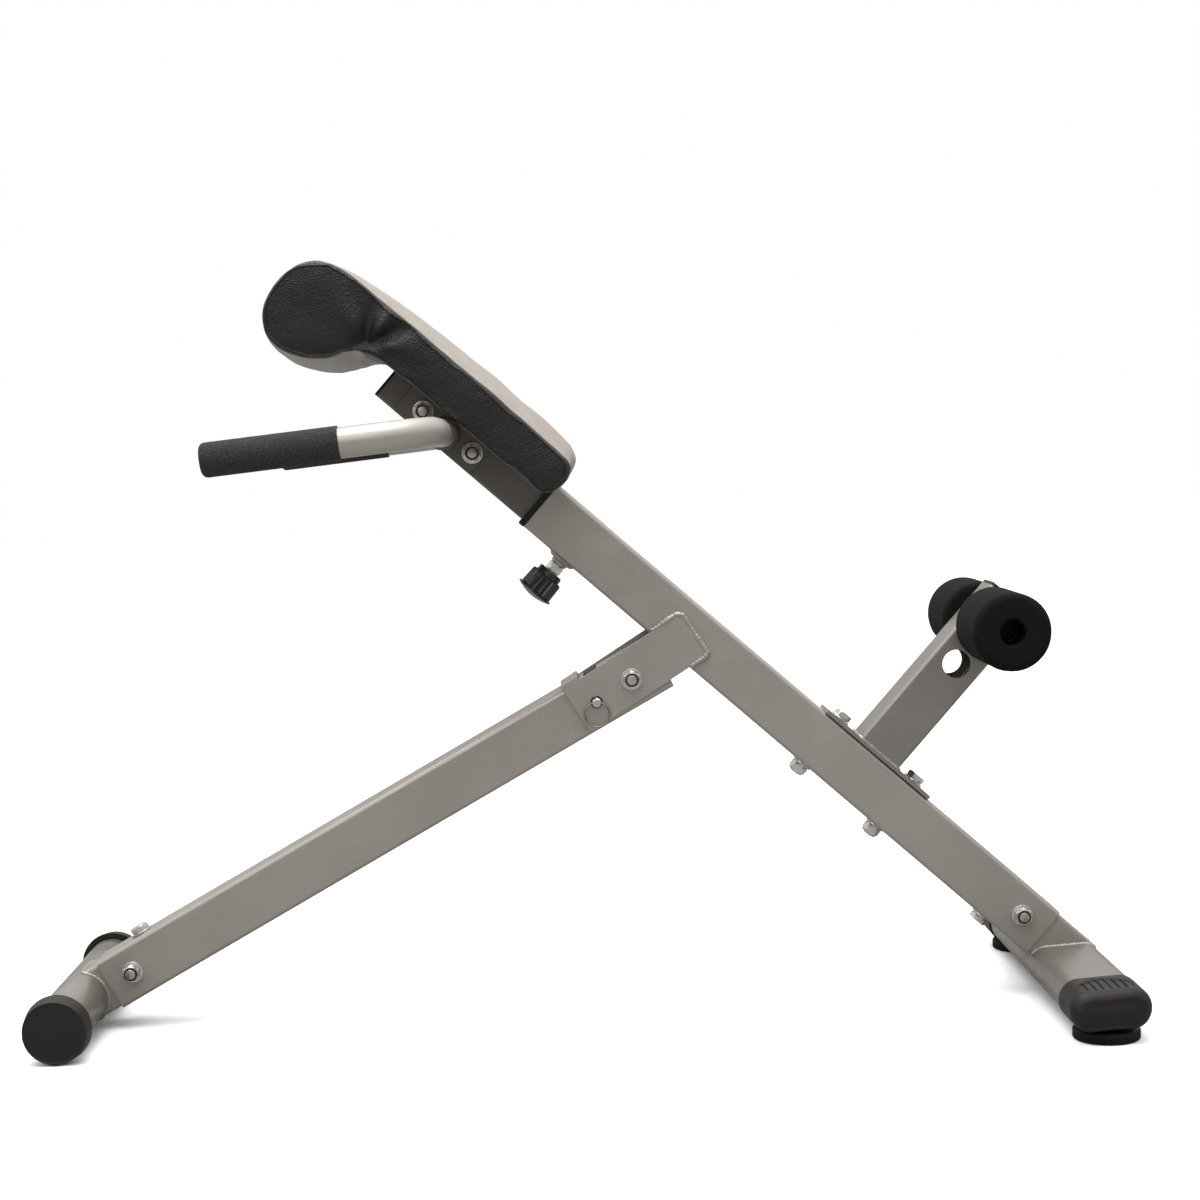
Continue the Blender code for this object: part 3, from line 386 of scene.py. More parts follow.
def dress(node, material):
    """A CAD node keeps its shape and gets its material, with its edges eased."""
    solid = NODES[node]
    solid.data.materials.clear()
    solid.data.materials.append(material)
    solid.data.shade_smooth()
    solid.modifiers.new("weld", "WELD").merge_threshold = MERGE_REACH
    bevel = solid.modifiers.new("eased", "BEVEL")
    bevel.width, bevel.segments = EASED_EDGE, 2
    bevel.limit_method, bevel.angle_limit = "ANGLE", radians(50)
    bevel.use_clamp_overlap = True
    solid.modifiers.new("normals", "WEIGHTED_NORMAL").keep_sharp = True


# The ankle post gets the darker copy of the silver coat instead of its own silver: painted shade.
for name, slot in SLOTS.items():
    dress(name, SHADED_POST_COAT if name == "ankle_post" else BY_SLOT[slot])


# ---------------------------------------------------------------- mesh building

def ring(place, radius, height, steps=64):
    """Points round a frame's Z axis; the radius may be a function of the angle."""
    spots = []
    for i in range(steps):
        turn = 2 * pi * i / steps
        reach = radius(turn) if callable(radius) else radius
        spots.append(place @ Vector((reach * cos(turn), reach * sin(turn), height)))
    return spots


def turned(place, profile, steps=64):
    """Rings through a profile of (radius, height) points."""
    return [ring(place, radius, height, steps) for radius, height in profile]


def eased(points, radius, steps=4, closed=False):
    """A line of points with its corners rounded."""
    spots = [Vector(point) for point in points]
    made = []
    for i, spot in enumerate(spots):
        if not closed and i in (0, len(spots) - 1):
            made.append(spot)
            continue
        before, after = spots[i - 1] - spot, spots[(i + 1) % len(spots)] - spot
        reach = min(radius, before.length * 0.49, after.length * 0.49)
        start, end = spot + before.normalized() * reach, spot + after.normalized() * reach
        for k in range(steps + 1):
            t = k / steps
            made.append((1 - t) ** 2 * start + 2 * t * (1 - t) * spot + t * t * end)
    return made


def looped(line):
    """A closed line or profile: its first point again at the end."""
    return list(line) + [line[0]]


def extruded(place, outline, start, end, edge=0.0):
    """Rows of an outline in a frame's XY, from start to end along Z, with a small edge break."""
    middle = sum((Vector(spot) for spot in outline), Vector((0, 0))) / len(outline)
    rows = []
    for height, inset in ((start, edge), (start + edge, 0.0), (end - edge, 0.0), (end, edge)):
        row = []
        for spot in outline:
            away = Vector(spot) - middle
            near = middle + away * (1 - inset / max(away.length, 0.001))
            row.append(place @ Vector((near.x, near.y, height)))
        rows.append(row)
    return rows


def heading(path, i):
    """Direction of travel at a point of an open path."""
    return (path[min(i + 1, len(path) - 1)] - path[max(i - 1, 0)]).normalized()


def circle(spot, first, second, reach, steps):
    """Points round a spot, in the plane of two directions."""
    turns = [2 * pi * k / steps for k in range(steps)]
    return [spot + (first * cos(turn) + second * sin(turn)) * reach for turn in turns]


def swept(path, radius, across, steps=32):
    """Rings along a path that lies square to a given direction."""
    rows = []
    for i, spot in enumerate(path):
        side = heading(path, i).cross(across).normalized()
        reach = radius(i) if callable(radius) else radius
        rows.append(circle(spot, side, across, reach, steps))
    return rows


def skin(shape, rows, closed=True, ends=True, slot=0):
    """Faces between rows of points, and over the first and last row."""
    grid = [[shape.verts.new(spot) for spot in row] for row in rows]
    count = len(rows[0])
    faces = []
    for first, second in zip(grid, grid[1:]):
        for i in range(count if closed else count - 1):
            k = (i + 1) % count
            faces.append(shape.faces.new((first[i], first[k], second[k], second[i])))
    if ends:
        faces.append(shape.faces.new(grid[0]))
        faces.append(shape.faces.new(grid[-1]))
    for face in faces:
        face.material_index = slot


def add_object(name, data):
    made = bpy.data.objects.new(name, data)
    bpy.context.scene.collection.objects.link(made)
    return made


def bare(name, skins):
    """An object made of several skins, with nothing said about it yet."""
    shape = bmesh.new()
    for rows, options in skins:
        skin(shape, rows, **options)
    bmesh.ops.remove_doubles(shape, verts=shape.verts, dist=0.000001)
    bmesh.ops.dissolve_degenerate(shape, edges=shape.edges, dist=0.000001)
    bmesh.ops.recalc_face_normals(shape, faces=shape.faces)
    mesh = bpy.data.meshes.new(name)
    shape.to_mesh(mesh)
    shape.free()
    return add_object(name, mesh)


def piece(name, body, skins, materials, stands_for=(), sharp=38):
    """One object made of several skins, riding on a body and standing for CAD nodes."""
    made = bare(name, skins)
    for material in materials:
        made.data.materials.append(material)
    made.data.shade_smooth()
    made.data.set_sharp_from_angle(angle=radians(sharp))
    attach(made, body)
    if stands_for:
        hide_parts(*stands_for)
    return made


SOLID = {}
LOOP = {"ends": False}


def painted(slot, **options):
    return {"slot": slot, **options}


def body_of(node):
    return NODES[node]["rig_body"]


def turned_to(direction):
    """A turn whose Z follows a direction."""
    return Vector(direction).to_track_quat("Z", "Y").to_matrix().to_4x4()


def along(node, direction):
    """A frame on a CAD node's middle line, Z along direction from its near end, and its length."""
    turn = turned_to(direction)
    low, high = extent(node, turn)
    middle = (low + high) / 2
    return turn @ Matrix.Translation((middle.x, middle.y, low.z)), high.z - low.z


def turned_along(side, ahead):
    """A side direction carried on square to a new direction of travel."""
    square = side - ahead * side.dot(ahead)
    return square.normalized() if square.length > 0.05 else ahead.orthogonal().normalized()


RIPPLE_STEP = 0.0011


def spaced(line, count):
    """Evenly spaced points along a line, with a step counted from its start."""
    length = sum((b - a).length for a, b in zip(line, line[1:]))
    made, step, walked = [], length / count, 0.0
    for first, second in zip(line, line[1:]):
        run = (second - first).length
        while len(made) <= count and len(made) * step <= walked + run + 1e-9:
            share = (len(made) * step - walked) / max(run, 1e-9)
            made.append(first.lerp(second, min(1.0, share)))
        walked += run
    return made


def bead(path, size, seed, closed=False):
    """Rings of a hand-laid weld bead: ripples of uneven size along a path."""
    path = looped(path) if closed else path
    length = sum((b - a).length for a, b in zip(path, path[1:]))
    spots = spaced(path, max(8, int(length / RIPPLE_STEP)))
    rows, side = [], Y_AXIS.copy()
    for i, spot in enumerate(spots):
        ahead = heading(spots, i)
        side = turned_along(side, ahead)
        unevenness = noise.noise(spot * 130 + Vector((seed, 0, 0)))
        ripple = 0.88 + 0.16 * abs(sin(i * 0.85)) + 0.34 * unevenness
        taper = 1.0 if closed else min(1.0, 0.55 + 0.3 * min(i, len(spots) - 1 - i))
        rows.append(circle(spot, side, ahead.cross(side), size * ripple * taper, 10))
    return rows


# ---------------------------------------------------------------- fasteners

HEX_FLAT = 0.0085        # from the axis to a flat of an M10 hexagon
BOLT_RADIUS = 0.0050
BOLT_HEAD = 0.0064         # height of the head
BOLT_THREAD = 0.022        # length of the threaded end
WASHER_BORE, WASHER_RADIUS, WASHER_THICK = 0.0054, 0.0109, 0.0018
NUT_COLLAR = 0.0022        # height of the dome over a nut's hexagon
THREAD_PITCH = 0.0015
JOIN = 0.0001              # gap left between two parts of one piece
NYLON = moulded_plastic("nylon_ring", (0.020, 0.022, 0.026), 0.40)


def hexagon(flat, clip):
    """Radius of a hexagon by angle, cut back to a circle as a chamfer leaves it."""
    return lambda turn: min(flat / cos((turn + pi / 6) % (pi / 3) - pi / 6), clip)


def hex_rows(place, flat, start, end):
    """A hexagon chamfered at both faces."""
    rows = []
    for height, clip in ((start, 0.985), (start + 0.0004, 1.05), (start + 0.0009, 1.16),
                         (end - 0.0009, 1.16), (end - 0.0004, 1.05), (end, 0.985)):
        rows.append(ring(place, hexagon(flat, flat * clip), height, 72))
    return rows


def thread_rows(place, radius, start, end, steps=36):
    """A threaded end: the radius follows the helix."""
    count = int((end - start) / (THREAD_PITCH / 6))
    rows = []
    for i in range(count + 1):
        height = start + (end - start) * i / count
        deep = 0.00055 if height < end - 0.0008 else 0.0003
        rows.append(ring(place, lambda turn: radius - deep * abs(
            2 * ((height / THREAD_PITCH - turn / (2 * pi)) % 1.0) - 1), height, steps))
    rows.append(ring(place, radius - 0.0011, end + 0.0003, steps))
    return rows


def washer_rows(place, start):
    end = start + (WASHER_THICK - JOIN)
    profile = eased(((WASHER_BORE, start), (WASHER_RADIUS, start), (WASHER_RADIUS, end),
                     (WASHER_BORE, end)), 0.0004, 3, closed=True)
    return turned(place, looped(profile), 56)


def make_bolt(node, direction):
    """A hex bolt with its washer under the head and a threaded end."""
    place, length = along(node, direction)
    thread = max(BOLT_HEAD + WASHER_THICK + 0.002, length - BOLT_THREAD)
    shank = ((BOLT_RADIUS, BOLT_HEAD - 0.001), (BOLT_RADIUS, thread))
    skins = [(hex_rows(place, HEX_FLAT, 0.0, BOLT_HEAD - JOIN), SOLID),
             (washer_rows(place, BOLT_HEAD), LOOP), (turned(place, shank, 36), SOLID),
             (thread_rows(place, BOLT_RADIUS, thread - 0.0005, length - 0.0003), painted(1))]
    return piece(node + "_detail", body_of(node), skins, [ZINC, STEEL], [node])


def make_nut(node, direction):
    """A locking nut: washer, hexagon, domed collar and the nylon ring in it."""
    place, length = along(node, direction)
    top = length - NUT_COLLAR
    dome = eased(((0.0083, top - 0.0006), (0.0082, top + 0.0006), (0.0076, length),
                  (0.0070, length), (0.0067, length - 0.0009), (0.0067, top - 0.0006)), 0.0006, 3)
    nylon = eased(((0.0068, length - 0.0016), (0.0068, length - 0.0007), (0.0052, length - 0.0006),
                   (0.0052, length - 0.0016)), 0.0003, 2, closed=True)
    skins = [(washer_rows(place, 0.0), LOOP), (hex_rows(place, HEX_FLAT, WASHER_THICK, top), SOLID),
             (turned(place, dome, 56), LOOP),
             (turned(place, looped(nylon), 40), painted(1, ends=False))]
    return piece(node + "_detail", body_of(node), skins, [ZINC, NYLON], [node])


def make_fasteners():
    for name in ("pivot", "leg_side", "rear_side"):
        make_bolt(name + "_bolt", (0, -1, 0))
        make_nut(name + "_nut", (0, -1, 0))
    down = -main_way(0, 0, 1)
    for label in ("upper", "lower"):
        make_bolt("handle_bolt_" + label, (0, -1, 0))
        make_nut("handle_nut_" + label, (0, -1, 0))
        make_bolt("ankle_bolt_" + label, down)
        make_nut("ankle_nut_" + label, down)
    make_bolt("leg_top_bolt", -(LEG.to_3x3() @ Vector((0, 0, 1))))
    make_bolt("rear_lower_bolt", -down)


# ---------------------------------------------------------------- end caps and feet

def make_front_caps():
    """Moulded caps with a broken edge, a shallow face and a flat to stand on."""
    for side, node in ((-1, "front_cap_left"), (1, "front_cap_right")):
        low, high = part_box(node)
        radius, length = (high.x - low.x) / 2, high.y - low.y
        bore = radius - 0.0063
        near = low.y if side > 0 else high.y
        place = Matrix.Translation(FRONT_AXIS + Vector((0, near, 0))) @ turned_to((0, side, 0))
        outer = eased(((bore, length * 0.7), (bore, 0.0), (radius - 0.0006, 0.0),
                       (radius, 0.0012), (radius - 0.0026, length - 0.0008),
                       (radius - 0.0036, length), (radius - 0.0046, length - 0.0007),
                       (0.0004, length - 0.0004)), 0.0009, 4)
        rows = turned(place, outer, 112)
        for row in rows:
            for spot in row:
                spot.z = max(spot.z, 0.0)
        piece(node + "_moulding", body_of(node), [(rows, SOLID)], [CAP], [node])


def oval_point(width, height, u):
    """A point on an oval of two half circles and straight runs, u from 0 to 1 round it."""
    radius = height / 2
    straight = width - height
    total = 2 * straight + 2 * pi * radius
    run = (u % 1.0) * total
    if run < straight:
        return Vector((straight / 2 - run, radius)), Vector((0, 1))
    run -= straight
    if run < pi * radius:
        turn = pi / 2 + run / radius
        out = Vector((cos(turn), sin(turn)))
        return Vector((-straight / 2, 0)) + out * radius, out
    run -= pi * radius
    if run < straight:
        return Vector((-straight / 2 + run, -radius)), Vector((0, -1))
    turn = -pi / 2 + (run - straight) / radius
    out = Vector((cos(turn), sin(turn)))
    return Vector((straight / 2, 0)) + out * radius, out


CAP_END_RADIUS = 0.0135
CAP_LIP = 0.0585           # the lip at the mouth starts this far from the end
CAP_POINTS, CAP_ROWS, FACE_ROWS = 400, 84, 9


def vent_depth(across, from_end):
    """Depth of the slots on a rear cap: seven of them under an arch."""
    arch = 0.0510 - (across / 0.0270) ** 2 * 0.0190
    if abs(across) > 0.0262 or not 0.0090 < from_end < arch:
        return 0.0
    slot = (across / 0.0075 + 0.5) % 1.0
    walls = min(1.0, max(0.0, (0.42 - abs(slot - 0.5)) / 0.07))
    ends = min(1.0, (arch - from_end) / 0.0010, (from_end - 0.0090) / 0.0050)
    return 0.0017 * walls * max(0.0, ends)


def make_rear_caps():
    """Long oval caps with a full rounded end and slots in the top."""
    for side, node in ((-1, "rear_cap_left"), (1, "rear_cap_right")):
        low, high = extent(node, REAR)
        size, outward = high - low, high.y if side > 0 else low.y
        places = [size.y * (1 - i / CAP_ROWS) for i in range(CAP_ROWS + 1)]
        places += [-i / FACE_ROWS for i in range(1, FACE_ROWS)]
        rows = [cap_row(side, outward, size, from_end) for from_end in places]
        piece(node + "_moulding", body_of(node), [(rows, SOLID)], [CAP], [node])


def cap_row(side, outward, size, from_end):
    """One row round a rear cap; from_end below zero runs in over the end face."""
    face = max(0.0, -from_end)
    depth = max(0.0, from_end)
    turn_in = 0.0
    if depth < CAP_END_RADIUS:
        turn_in = CAP_END_RADIUS - sqrt(max(0.0, CAP_END_RADIUS ** 2 - (CAP_END_RADIUS - depth) ** 2))
    bulge = 0.0 if depth else 0.0012 * (1 - face)
    lip = 0.0010 if from_end > CAP_LIP else 0.0
    row = []
    for i in range(CAP_POINTS):
        spot, out = oval_point(size.x, size.z, i / CAP_POINTS)
        drawn_in = turn_in * (1 - 0.55 * max(0.0, -out.y))
        inward = drawn_in + face * (size.z / 2 - drawn_in) * 0.96 + lip
        if out.y > 0.5:
            inward += vent_depth(spot.x, depth) * (out.y - 0.5) * 2
        spot = spot - out * inward
        row.append(REAR @ Vector((spot.x, outward - side * (depth + bulge), spot.y)))
    return row


DISC_TOP = 0.0111          # just under the lowest part of the cap
BOSS = 0.0009              # height of the raised middle of the disc
RIBS = 76


def knurled(reach):
    """Radius of the disc's ribbed rim by angle."""
    return lambda turn: reach - 0.0011 * (0.5 - 0.5 * cos(RIBS * turn)) ** 2


def make_feet():
    """Knurled discs on threaded studs."""
    for label in ("left", "right"):
        node = "foot_disc_" + label
        place, length = along(node, (0, 0, 1))[0], DISC_TOP
        low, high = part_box(node)
        radius = (high.x - low.x) / 2
        profile = ((radius - 0.0065, 0.0), (radius - 0.0022, 0.0), (knurled(radius - 0.0006), 0.0008),
                   (knurled(radius), 0.0016), (knurled(radius), length - 0.0022),
                   (knurled(radius - 0.0005), length - 0.0012), (radius - 0.0022, length - 0.0004),
                   (radius - 0.0030, length), (0.0185, length), (0.0180, length + BOSS),
                   (0.0062, length + BOSS), (0.0062, length - 0.0025))
        piece(node + "_knurled", body_of(node), [(turned(place, profile, 6 * RIBS), SOLID)],
              [PLASTIC], [node])
        stud = "foot_stud_" + label
        place, length = along(stud, (0, 0, 1))
        piece(stud + "_threaded", body_of(stud),
              [(thread_rows(place, BOLT_RADIUS, 0.0002, length - 0.0003), SOLID)], [ZINC], [stud])


# ---------------------------------------------------------------- lock knob, pin and ring

LOCK_AXIS = Vector(JOINTS["lock_pull"]["axis"])
FLUTES = 14


def ribbed(reach, deep):
    """Radius of the knob's fluted side by angle."""
    return lambda turn: reach - deep * (0.5 + 0.5 * cos(FLUTES * turn)) ** 1.6


def make_knob():
    """Ribbed knob with a collar at its foot and a domed end."""
    place, length = along("lock_knob", LOCK_AXIS)
    collar, face = 0.0062, length - 0.0046
    profile = [(0.0034, 0.0004), (0.0125, 0.0), (0.0133, 0.0006), (0.0137, 0.0016),
               (0.0137, collar - 0.0012)]
    profile += [(ribbed(reach, deep), height) for reach, height, deep in (
        (0.0140, collar - 0.0004, 0.0), (0.0158, collar, 0.0008), (0.0170, collar + 0.0006, 0.0020),
        (0.0175, collar + 0.0020, 0.0026), (0.0181, length - 0.0090, 0.0026),
        (0.0182, length - 0.0078, 0.0022))]
    profile += [(0.0183, length - 0.0070), (0.0201, length - 0.0064), (0.0204, length - 0.0056),
                (0.0202, face)]
    for i in range(1, 8):
        left = 1 - i / 8
        profile.append((0.0200 * left, face + 0.0044 * (1 - left ** 2)))
    piece("lock_knob_ribbed", body_of("lock_knob"), [(turned(place, profile, 12 * FLUTES), SOLID)],
          [GLOSS_PLASTIC], ["lock_knob"])


def make_lock():
    """Knob, zinc housing and the welded collar."""
    make_knob()
    place, length = along("lock_housing", LOCK_AXIS)
    hex_start = length - 0.0092
    skins = [(hex_rows(place, 0.0074, hex_start, length), SOLID),
             (thread_rows(place, 0.0060, 0.0, hex_start + 0.0004), SOLID)]
    piece("lock_housing_hex", body_of("lock_housing"), skins, [ZINC], ["lock_housing"])

    place, length = along("lock_collar", LOCK_AXIS)
    low, high = 0.0061, 0.0140
    foot = eased(((low, 0.0), (high, 0.0), (high, 0.0026), (0.0128, 0.0034), (0.0092, 0.0040),
                  (0.0086, length), (low, length)), 0.0008, 3, closed=True)
    weld = bead(ring(place, high + 0.0002, 0.0006, 48), 0.0012, 3.0, closed=True)
    piece("lock_collar_welded", body_of("lock_collar"),
          [(turned(place, looped(foot), 64), LOOP), (weld, SOLID)], [SILVER], ["lock_collar"])


def make_lock_spring():
    """The coil behind the plunger's flange, drawn at one length, on a mesh of its own."""
    axis = LOCK_AXIS
    place, length = along("lock_spring", axis)
    low, high = extent("lock_spring", place)
    wire_radius, turns, per_turn = 0.0004, 5, 24
    reach = (high.x - low.x) / 2 - wire_radius
    coil = []
    for i in range(turns * per_turn + 1):
        turn = 2 * pi * i / per_turn
        height = wire_radius + (length - 2 * wire_radius) * i / (turns * per_turn)
        coil.append(place @ Vector((reach * cos(turn), reach * sin(turn), height)))
    made = piece("lock_spring_coil", body_of("lock_spring"),
                 [(swept(coil, wire_radius, axis, 8), SOLID)], [STEEL], ["lock_spring"])
    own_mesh(made)


WIRE_SHOWN = 1.35          # the photo's ring is of thicker wire


def make_pin_ring():
    """A split wire ring."""
    low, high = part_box("pin_ring")
    middle = (low + high) / 2
    wire_radius = (high.y - low.y) / 2
    reach = (high.x - low.x) / 2 - wire_radius
    spots = circle(middle, Vector((0, 0, 1)), Vector((-1, 0, 0)), reach, 96)
    rows = swept(looped(spots), wire_radius * WIRE_SHOWN, Y_AXIS, 16)
    rows[-1] = rows[0]
    piece("pin_ring_wire", body_of("pin_ring"), [(rows, LOOP)], [RING_WIRE], ["pin_ring"])


def make_fold_pin():
    place, length = along("fold_pin", (0, -1, 0))
    profile = eased(((0.0004, 0.0), (0.0037, 0.0), (0.0049, 0.0014), (0.0049, length - 0.0013),
                     (0.0036, length), (0.0004, length - 0.0002)), 0.0004, 3)
    piece("fold_pin_turned", body_of("fold_pin"), [(turned(place, profile, 48), SOLID)], [ZINC],
          ["fold_pin"])


# ---------------------------------------------------------------- rollers

def make_rollers():
    """Foam sleeves, a little out of true at the edges as cut foam is, and the tube inside."""
    for side, label in ((-1, "left"), (1, "right")):
        node = "foam_roller_" + label
        place, length = along(node, (0, side, 0))
        low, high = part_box(node)
        radius = (high.x - low.x) / 2
        bore = 0.0130
        profile = eased(((bore, 0.001), (bore + 0.0015, 0.0), (radius - 0.0035, 0.0), (radius, 0.0040),
                         (radius, length - 0.0050), (radius - 0.0045, length), (bore + 0.0014, length),
                         (bore, length - 0.0014)), 0.0040, 5, closed=True)
        rows = turned(place, looped(profile), 120)
        for row in rows[:-1]:
            for spot in row:
                spot += Vector((1, 0, 1)) * 0.0004 * noise.noise(spot * 45)
        rows[-1] = rows[0]
        made = piece(node + "_foam", body_of(node), [(rows, LOOP)], [FOAM], [node])
    place, length = along("roller_tube", (0, 1, 0))
    end, plug_end = 0.010, 0.014
    profile = eased(((0.0104, end), (0.0127, end), (0.0127, length - end), (0.0104, length - end)),
                    0.0005, 3, closed=True)
    plug = eased(((0.0004, plug_end), (0.0103, plug_end), (0.0103, length - plug_end),
                  (0.0004, length - plug_end)), 0.0006, 3)
    # The steel tube is drawn in black plastic: painted shade, so the rollers' bore looks dark. The plug in
    # it is an end plug of black plastic, as such tubes have.
    skins = [(turned(place, looped(profile), 64), LOOP), (turned(place, plug, 48), painted(1))]
    piece("roller_tube_drawn", body_of("roller_tube"), skins, [PLASTIC, PLASTIC], ["roller_tube"])


# ---------------------------------------------------------------- handles

HANDLE_SLOPE = radians(5.4)
HANDLE_AHEAD = Vector((-cos(HANDLE_SLOPE), 0, -sin(HANDLE_SLOPE)))
HANDLE_BEND = 0.050
HANDLE_RADIUS = 0.014
GRIP_RADIUS = 0.0158
PLATE_LENGTH = 0.101
PLATE_HEIGHT = 0.041
PLATE_THICK = 0.004


def handle_root():
    """Where the tube's middle line meets the seat post's middle plane."""
    spot = flattened((centre("handle_bolt_upper") + centre("handle_bolt_lower")) / 2)
    return spot + main_way(-0.0027, 0, -0.0040)


def handle_path(side, label):
    """Out from the plate, round the bend and along to the grip."""
    root, outward = handle_root(), Vector((0, side, 0))
    bend_y = abs(centre("grip_" + label).y) - HANDLE_BEND
    middle = root + outward * bend_y + HANDLE_AHEAD * HANDLE_BEND
    post_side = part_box("seat_post")[1].y
    path = [root + outward * (post_side + 0.001), root + outward * (post_side + 0.012)]
    path += [path[1].lerp(root + outward * bend_y, (i + 1) / 6) for i in range(5)]
    for i in range(25):
        turn = pi / 2 * i / 24
        path.append(middle - HANDLE_AHEAD * HANDLE_BEND * cos(turn) + outward * HANDLE_BEND * sin(turn))
    last = path[-1]
    run = (last.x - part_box("grip_" + label)[1].x) / cos(HANDLE_SLOPE) + 0.030
    return path + [last + HANDLE_AHEAD * run * i / 8 for i in range(1, 9)]


def handle_plate(side, inner):
    """The plate against the seat post's side."""
    root = in_main(handle_root())
    x, z = root.x - 0.0033, root.z + 0.0060
    half, tall = PLATE_LENGTH / 2, PLATE_HEIGHT / 2
    outline = eased(((x - half, z - tall), (x + half, z - tall), (x + half, z + tall),
                     (x - half, z + tall)), 0.002, 4, closed=True)
    near, far = sorted((-side * inner, -side * (inner + PLATE_THICK)))
    return extruded(MAIN @ Matrix.Rotation(pi / 2, 4, "X"), outline, near, far, 0.0004)


def make_handles():
    """Bent tubes welded to their plates, with foam rubber grips."""
    across = HANDLE_AHEAD.cross(Y_AXIS).normalized()
    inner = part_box("seat_post")[1].y + 0.0003
    for side, label in ((-1, "left"), (1, "right")):
        node = "handle_" + label
        foot = handle_root() + Vector((0, side * (inner + PLATE_THICK + 0.0005), 0))
        hoop = circle(foot, across, HANDLE_AHEAD, HANDLE_RADIUS + 0.0008, 40)
        # The tube takes the lighter copy of the silver coat, painted light; the plate and its weld take
        # the darkened copy, painted shade under the pad.
        skins = [(swept(handle_path(side, label), HANDLE_RADIUS, across, 56), SOLID),
                 (handle_plate(side, inner), painted(1)),
                 (bead(hoop, 0.0026, side * 2.0, closed=True), painted(1))]
        piece(node + "_tube", body_of(node), skins, [LIT_HANDLE_COAT, PAD_SHADE_COAT], [node])

        grip, radius, bore = "grip_" + label, GRIP_RADIUS, HANDLE_RADIUS + 0.0002
        place, length = along(grip, HANDLE_AHEAD)
        profile = eased(((bore, 0.0030), (bore, 0.0), (radius - 0.0003, 0.0), (radius, 0.0004),
                         (radius, length - 0.0032), (radius - 0.0032, length), (0.0004, length)),
                        0.0026, 5)
        piece(grip + "_sleeve", body_of(grip), [(turned(place, profile, 72), SOLID)], [GRIP], [grip])


# ---------------------------------------------------------------- stabilizers

STUB_SIZE = 0.0502
POST_SIZE = 0.0529         # square of the weld round the ankle post
OVAL_WIDTH, OVAL_HEIGHT = 0.076, 0.037


def square_line(size, lift=0.0):
    """A rounded square as closely spaced points, for a stub or the weld round it."""
    return dense(rounded_square(size, 0.004, lift), 0.002)


def rounded_square(size, radius, lift=0.0, steps=5):
    half = size / 2
    corners = ((half, half + lift), (-half, half + lift), (-half, -half + lift), (half, -half + lift))
    return eased(corners, radius, steps, closed=True)


def dense(outline, spacing):
    """The same closed outline with points no further apart than the spacing."""
    made = []
    for a, b in zip(outline, list(outline[1:]) + [outline[0]]):
        count = max(1, int((b - a).length / spacing))
        made += [a.lerp(b, i / count) for i in range(count)]
    return made


def make_front_stabilizer():
    """Round cross tube, its stub and the saddle weld between them."""
    node = "front_stabilizer"
    low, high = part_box(node)
    radius, bore = FRONT_AXIS.z - low.z, FRONT_AXIS.z - low.z - WALL
    half = high.y
    across = axes_at(FRONT_AXIS, (1, 0, 0)) @ Matrix.Rotation(-pi / 2, 4, "X")
    profile = eased(((bore, -half), (radius, -half), (radius, half), (bore, half)), 0.0004, 2, closed=True)
    stub_low, stub_high = extent("leg_tube", LEG)
    lift = (stub_low.z + stub_high.z) / 2
    start = (LEG.inverted() @ FRONT_AXIS).x
    stub, saddle = [[], []], []
    for spot in square_line(STUB_SIZE, lift):
        reach = start + sqrt(max(radius ** 2 - spot.y ** 2, 0.00002))
        saddle.append(LEG @ Vector((reach + 0.0004, spot.x, spot.y)))
        stub[0].append(LEG @ Vector((reach - 0.0012, spot.x, spot.y)))
        stub[1].append(LEG @ Vector((stub_low.x + 0.05, spot.x, spot.y)))
    # The round tube takes the darker copy of the silver coat, painted shade; its stub and weld keep the
    # silver.
    skins = [(turned(across, looped(profile), 112), painted(1, ends=False)), (stub, SOLID),
             (bead(saddle, 0.0021, 5.0, closed=True), SOLID)]
    piece(node + "_welded", body_of(node), skins, [SILVER, SHADED_CROSS_COAT], [node])


def landing(across, up, foot):
    """Where a line down the stub meets the oval, or else passes nearest, and the point below it."""
    straight, radius = (OVAL_WIDTH - OVAL_HEIGHT) / 2, OVAL_HEIGHT / 2
    back = REAR.inverted()
    best, found = 1.0, None
    for k in range(240):
        spot = back @ (MAIN @ Vector((foot + k * 0.0003, across, up)))
        core = Vector((max(-straight, min(straight, spot.x)), spot.y, 0))
        gap = (spot - core).length - radius
        if gap < best:
            best, found = gap, (spot, core + (spot - core).normalized() * (radius - 0.0009))
        if gap < 0.0 or gap > best + 0.004:
            break
    return found


def make_rear_stabilizer():
    """Oval cross tube, its stub and the weld round the joint."""
    node = "rear_stabilizer"
    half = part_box("rear_cap_right")[1].y - 0.0165
    rows = []
    for inset, y in ((0.0, -half), (0.0, half), (WALL, half), (WALL, -half)):
        row = []
        for i in range(128):
            spot, out = oval_point(OVAL_WIDTH, OVAL_HEIGHT, i / 128)
            spot = spot - out * inset
            row.append(REAR @ Vector((spot.x, y, spot.y)))
        rows.append(row)
    rows.append(rows[0])
    foot = extent("main_tube", MAIN)[1].x
    stub, joint = [[], [], []], []
    for spot in square_line(STUB_SIZE):
        met, below = landing(spot.x, spot.y, foot)
        stub[0].append(MAIN @ Vector((foot - 0.03, spot.x, spot.y)))
        stub[1].append(REAR @ met)
        stub[2].append(REAR @ below)
        joint.append(REAR @ met.lerp(below, 0.9))
    # The oval tube takes the darker copy of the silver coat, painted shade; its stub and weld keep the
    # silver.
    skins = [(rows, painted(1, ends=False)), (stub, SOLID),
             (bead(joint, 0.0023, 9.0, closed=True), SOLID)]
    piece(node + "_welded", body_of(node), skins, [SILVER, SHADED_CROSS_COAT], [node])


# ---------------------------------------------------------------- welds on the frame

